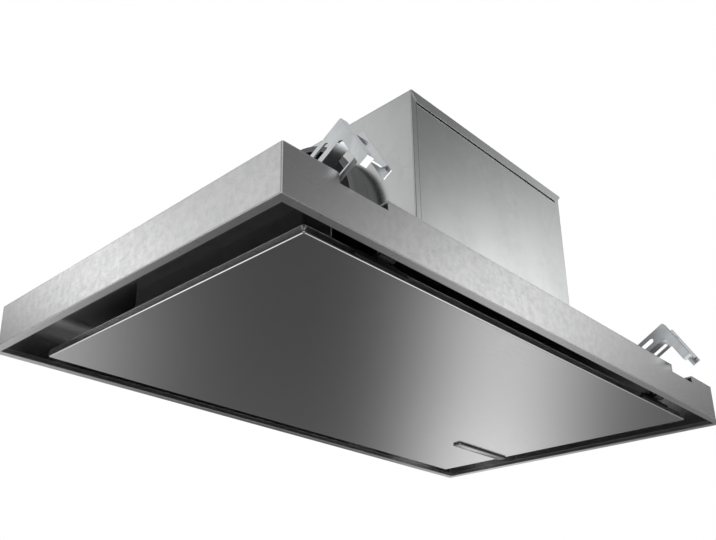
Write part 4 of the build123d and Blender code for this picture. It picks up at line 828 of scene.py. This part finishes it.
def tie_bolts():
    """Hammer-head bolts with rolled threads."""
    tip_radius, tip_height = BOLT_TIP
    bm = bmesh.new()
    for low, high in solid_boxes("clamp_tie_bolts"):
        under_head = high.z - HAMMER_HEAD
        head = box_of(bm, (low.x, low.y, under_head), high)
        round_over(bm, edges_of(head), HAMMER_EDGE, SMALL_ROUND_STEPS)
        before = set(bm.verts)
        thread(bm, BOLT_CREST, BOLT_ROOT, BOLT_PITCH, low.z, under_head + BOLT_SUNK, BOLT_STEPS)
        tip_top = low.z + tip_height
        turned(bm, [(0, low.z), (tip_radius, low.z), (tip_radius, tip_top), (0, tip_top)], BOLT_STEPS)
        shank = [vert for vert in bm.verts if vert not in before]
        bmesh.ops.translate(bm, vec=((low.x + high.x) / 2, (low.y + high.y) / 2, 0), verts=shank)
    finished(bm, "tie_bolts", [ZINC_PLATE], "hood_frame", ["clamp_tie_bolts"])


HEXAGON = 6
GLAND_BORE = 4.5 * MM
GLAND_BODY = (13.8 * MM, 7.0 * MM)             # corner radius and height of the hexagon
GLAND_NUT = (12.6 * MM, 4.0 * MM)              # the same of the lock nut under the sheet
BODY_CHAMFER = (0.6 * MM, 1.0 * MM)            # inwards and upwards
NUT_CHAMFER = (0.6 * MM, 0.7 * MM)
GLAND_STEM = 8.0 * MM
STEM_LEAD = (0.4 * MM, 0.6 * MM)
STEM_STEPS = 32
DOME_WALL = (10.0 * MM, 4.0 * MM)              # radius, and how far below the top it ends
DOME_SHOULDER = (9.0 * MM, 1.6 * MM)
DOME_TOP = 6.6 * MM                            # radius of the flat round the cable's bore
DOME_LIP = 2.0 * MM                            # height of the smooth lip inside the bore
FLUTE_STEPS = 48                               # every second one is a flute's bottom
FLUTE_DEPTH = 0.5 * MM
FLUTED_FROM = 9.5 * MM                         # the flutes lie outside this radius
GLAND_SMOOTH = 30.0                            # degrees between faces that still look smooth


def nut_profile(inner, corner, low, high, chamfer):
    """Outline of a chamfered nut, from its bore at the bottom to its bore at the top."""
    inwards, upwards = chamfer
    return [
        (inner, low), (corner - inwards, low), (corner, low + upwards),
        (corner, high - upwards), (corner - inwards, high), (inner, high),
    ]


def flute(verts, x, y):
    """Presses upright flutes into the outside of a turned dome."""
    for vert in verts:
        out = Vector((vert.co.x - x, vert.co.y - y, 0))
        step = round(math.atan2(out.y, out.x) / (2 * math.pi) * FLUTE_STEPS)
        if out.length > FLUTED_FROM and step % 2:
            vert.co -= out.normalized() * FLUTE_DEPTH


def gland():
    """Cable gland: hexagon body, fluted dome nut with its open bore, and a lock nut."""
    low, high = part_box("cable_gland")
    x, y = (low.x + high.x) / 2, (low.y + high.y) / 2
    under, seat = (corner.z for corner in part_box("plenum_top"))
    body_corner, body_height = GLAND_BODY
    nut_corner, nut_height = GLAND_NUT
    lead_in, lead_up = STEM_LEAD
    body_top, dome_top = seat + body_height, high.z
    bm = bmesh.new()

    def ring_body(points, steps):
        made = turned(bm, points + [points[0]], steps)
        bmesh.ops.translate(bm, vec=(x, y, 0), verts=made)
        return made

    ring_body(nut_profile(GLAND_BORE, body_corner, seat, body_top, BODY_CHAMFER), HEXAGON)
    wall = [(GLAND_BORE, body_top), (DOME_WALL[0], body_top)]
    crown = [(radius, dome_top - drop) for radius, drop in (DOME_WALL, DOME_SHOULDER, (DOME_TOP, 0.0))]
    lip = [(GLAND_BORE, dome_top), (GLAND_BORE, dome_top - DOME_LIP)]
    flute(ring_body(wall + crown + lip, FLUTE_STEPS), x, y)
    stem = [(GLAND_BORE, low.z), (GLAND_STEM - lead_in, low.z), (GLAND_STEM, low.z + lead_up)]
    ring_body(stem + [(GLAND_STEM, under), (GLAND_BORE, under)], STEM_STEPS)
    ring_body(nut_profile(GLAND_STEM, nut_corner, under - nut_height, under, NUT_CHAMFER), HEXAGON)
    finished(
        bm, "gland", [BLACK_PLASTIC], "hood_frame", ["cable_gland"],
        smooth_angle=GLAND_SMOOTH,
    )


# ---------------------------------------------------------------- grease filter nets
NET_CELL = (9.5 * MM, 6.2 * MM)
STRAND = 1.1 * MM
STRAND_HEIGHT = 0.6 * STRAND
NET_SAG = 0.9 * MM
NET_SMOOTH = 60.0              # degrees between faces that still look smooth
PATCH = 2                      # cells each way in the patch that is repeated; neighbours sag apart
POCKET_MARGIN = 5.0 * MM


def strand(bm, start, end):
    """One slanting strand of the net between two of its knots."""
    along = end - start
    across = Vector((-along.y, along.x, 0)).normalized() * STRAND
    columns = Matrix((along, across, Vector((0, 0, STRAND_HEIGHT)))).transposed().to_4x4()
    bmesh.ops.create_cube(bm, size=1.0, matrix=Matrix.Translation((start + end) / 2) @ columns)


def repeated(bm, count, step):
    """Repeats all that the mesh holds so many times along a step."""
    geometry = bm.verts[:] + bm.edges[:] + bm.faces[:]
    for turn in range(1, count):
        made = bmesh.ops.duplicate(bm, geom=geometry)["geom"]
        verts = [item for item in made if isinstance(item, bmesh.types.BMVert)]
        bmesh.ops.translate(bm, vec=turn * step, verts=verts)


def filter_net(side):
    """Expanded aluminium net: a patch of slit cells repeated over the window, left out at the latch."""
    node = "filter_mesh_" + side
    low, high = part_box(node)
    pocket_low, pocket_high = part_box("filter_latch_" + side)
    middle = (low.z + high.z) / 2
    columns = PATCH * int((high.x - low.x) / NET_CELL[0] / PATCH)
    rows = PATCH * int((high.y - low.y) / NET_CELL[1] / PATCH)
    cell = Vector(((high.x - low.x) / columns, (high.y - low.y) / rows, 0))
    bm = bmesh.new()
    for column in range(PATCH):
        for row in range(PATCH):
            corner = Vector((low.x + column * cell.x, low.y + row * cell.y, middle))
            sag = Vector((0, 0, NET_SAG / 2 if (column + row) % 2 else -NET_SAG / 2))
            strand(bm, corner - sag, corner + cell + sag)
            strand(bm, corner + Vector((0, cell.y, 0)) - sag, corner + Vector((cell.x, 0, 0)) + sag)
    repeated(bm, columns // PATCH, Vector((PATCH * cell.x, 0, 0)))
    repeated(bm, rows // PATCH, Vector((0, PATCH * cell.y, 0)))
    at_latch = [
        vert for vert in bm.verts
        if pocket_low.x - POCKET_MARGIN < vert.co.x < pocket_high.x + POCKET_MARGIN
        and vert.co.y < pocket_high.y + POCKET_MARGIN
    ]
    bmesh.ops.delete(bm, geom=at_latch, context="VERTS")
    finished(
        bm, "filter_net_" + side, [SATIN_ALUMINIUM], "hood_frame", [node],
        smooth_angle=NET_SMOOTH,
    )


# ---------------------------------------------------------------- studio and camera
WHITE = (1.0, 1.0, 1.0, 1.0)
WHITE_LEVEL = 1.0
SKY_LEVEL = 0.065
GROUND_LEVEL = 0.05
HORIZON = (-0.25, 0.05)                # heights between which the ground's level turns into the sky's
# Soft boxes round the hood: azimuth, elevation and spread in degrees, and strength
SOFT_BOXES = (
    # mirrored in the faces that look to the front, along -Y
    (-33.0, 22.0, 5.3, 1.80),
    (-42.0, 22.0, 7.0, 0.17),
    # mirrored in the faces that look to the left, along -X
    (119.5, 25.5, 3.5, 1.95),
    (133.0, 30.0, 8.0, 1.00),
    # mirrored in the cover panel and the deck, which look down
    (33.5, -12.5, 3.6, 1.20),
    (31.0, -23.0, 3.6, 1.00),
    (67.0, -21.0, 5.5, 0.80),
    # low at both sides, mirrored in the panel's folded edges
    (-12.0, -43.0, 13.0, 2.00),
    (106.0, -43.0, 14.0, 2.40),
    # overhead, for faces that look up
    (0.0, 88.0, 20.0, 1.00),
    # broad ones behind the camera
    (-142.0, 25.0, 26.0, 0.85),
    (-137.0, -14.0, 27.0, 0.85),
    # a broad one behind the hood
    (45.0, 40.0, 26.0, 0.50),
)


def toward(azimuth, elevation):
    """Direction to a place in the sky."""
    across, up = math.radians(azimuth), math.radians(elevation)
    return Vector((math.cos(across) * math.cos(up), math.sin(across) * math.cos(up), math.sin(up)))


def soft_glow(tree, direction, azimuth, elevation, width, strength):
    """Glow of one soft box, strongest at its middle and fading evenly round it."""
    inputs = {0: direction, 1: toward(azimuth, elevation)}
    cosine = new_node(tree, "ShaderNodeVectorMath", inputs, operation="DOT_PRODUCT").outputs["Value"]
    off_middle = calculate(tree, "SUBTRACT", cosine, 1.0)
    fall = calculate(tree, "MULTIPLY", off_middle, 1 / math.radians(width) ** 2)
    return calculate(tree, "MULTIPLY", calculate(tree, "EXPONENT", fall), strength)


def studio_world():
    """White background, with the soft boxes' glow for light and reflections."""
    world = bpy.data.worlds.new("white_studio")
    bpy.context.scene.world = world
    world.use_nodes = True
    tree = world.node_tree
    tree.nodes.clear()
    direction = new_node(tree, "ShaderNodeTexCoord").outputs["Generated"]
    level = spread(tree, axes_of(tree, direction)["Z"], *HORIZON, GROUND_LEVEL, SKY_LEVEL, smooth=True)
    for soft_box in SOFT_BOXES:
        level = calculate(tree, "ADD", level, soft_glow(tree, direction, *soft_box))
    seen = new_node(tree, "ShaderNodeLightPath").outputs["Is Camera Ray"]
    lit = new_node(tree, "ShaderNodeBackground", {"Color": level, "Strength": 1.0})
    white = new_node(tree, "ShaderNodeBackground", {"Color": WHITE, "Strength": WHITE_LEVEL})
    mixed = new_node(tree, "ShaderNodeMixShader", {0: seen, 1: lit.outputs[0], 2: white.outputs[0]})
    new_node(tree, "ShaderNodeOutputWorld", {0: mixed.outputs[0]})


FLOOR_DROP = 1.6                       # metres below the ceiling
FLOOR_RADIUS = 30.0                    # metres, so that its rim lies past the view from above
FLOOR_STEPS = 96
FLOOR_GLOW = 0.93                      # share of plain white; the rest takes the hood's faint shadow
FLOOR_GREY = (0.8, 0.8, 0.8, 1.0)
FLOOR_ROUGHNESS = 0.8


def pale_floor():
    """Nearly white to the camera from above; clear from underneath and to every other ray."""
    material = bpy.data.materials.new("pale_floor")
    material.use_nodes = True
    tree = material.node_tree
    surface = tree.nodes["Principled BSDF"]
    surface.inputs["Base Color"].default_value = FLOOR_GREY
    surface.inputs["Roughness"].default_value = FLOOR_ROUGHNESS
    white = new_node(tree, "ShaderNodeEmission", {"Color": WHITE, "Strength": WHITE_LEVEL})
    inputs = {0: FLOOR_GLOW, 1: surface.outputs[0], 2: white.outputs[0]}
    pale = new_node(tree, "ShaderNodeMixShader", inputs)
    seen = new_node(tree, "ShaderNodeLightPath").outputs["Is Camera Ray"]
    underneath = new_node(tree, "ShaderNodeNewGeometry").outputs["Backfacing"]
    from_above = calculate(tree, "SUBTRACT", seen, underneath, clamp=True)
    clear = new_node(tree, "ShaderNodeBsdfTransparent")
    inputs = {0: from_above, 1: clear.outputs[0], 2: pale.outputs[0]}
    mixed = new_node(tree, "ShaderNodeMixShader", inputs)
    feed(tree, tree.nodes["Material Output"].inputs[0], mixed.outputs[0])
    return material


def studio_floor():
    """Round floor below the hood, with its face upwards."""
    bm = bmesh.new()
    bmesh.ops.create_circle(bm, segments=FLOOR_STEPS, radius=FLOOR_RADIUS, cap_ends=True)
    bmesh.ops.translate(bm, vec=(0, 0, -FLOOR_DROP), verts=bm.verts)
    bm.normal_update()
    bmesh.ops.reverse_faces(bm, faces=[face for face in bm.faces if face.normal.z < 0])
    mesh = bpy.data.meshes.new("floor")
    bm.to_mesh(mesh)
    bm.free()
    mesh.materials.append(pale_floor())
    floor = bpy.data.objects.new("floor", mesh)
    bpy.context.scene.collection.objects.link(floor)


EYE = Vector((-0.8662, -0.7010, -0.3768))      # metres
HEADING = 44.38                                # degrees from the X axis
PITCH = 21.08                                  # degrees above the level
LENS = 44.34                                   # millimetres, for the film's width below
FILM_WIDTH = 36.0
SHIFT = (0.0529, 0.1201)                       # sideways and up, in widths of the picture
NEAREST_SEEN = 10.0 * MM


def camera():
    """Eye point low at one corner, looking up, as in the photograph."""
    data = bpy.data.cameras.new("camera")
    data.lens = LENS
    data.sensor_width = FILM_WIDTH
    data.shift_x, data.shift_y = SHIFT
    data.clip_start = NEAREST_SEEN
    eye = bpy.data.objects.new("camera", data)
    eye.location = EYE
    eye.rotation_euler = (math.radians(90 + PITCH), 0.0, math.radians(HEADING - 90))
    bpy.context.scene.collection.objects.link(eye)
    bpy.context.scene.camera = eye


# ---------------------------------------------------------------- the dressed hood in its studio
finish_cad_nodes()
panel_skin()
touch_bar()
touch_marks()
foot_screws()
tie_bolts()
gland()
for side in ("left", "middle", "right"):
    filter_net(side)

studio_world()
studio_floor()
camera()
bpy.context.scene.view_settings.view_transform = "Standard"
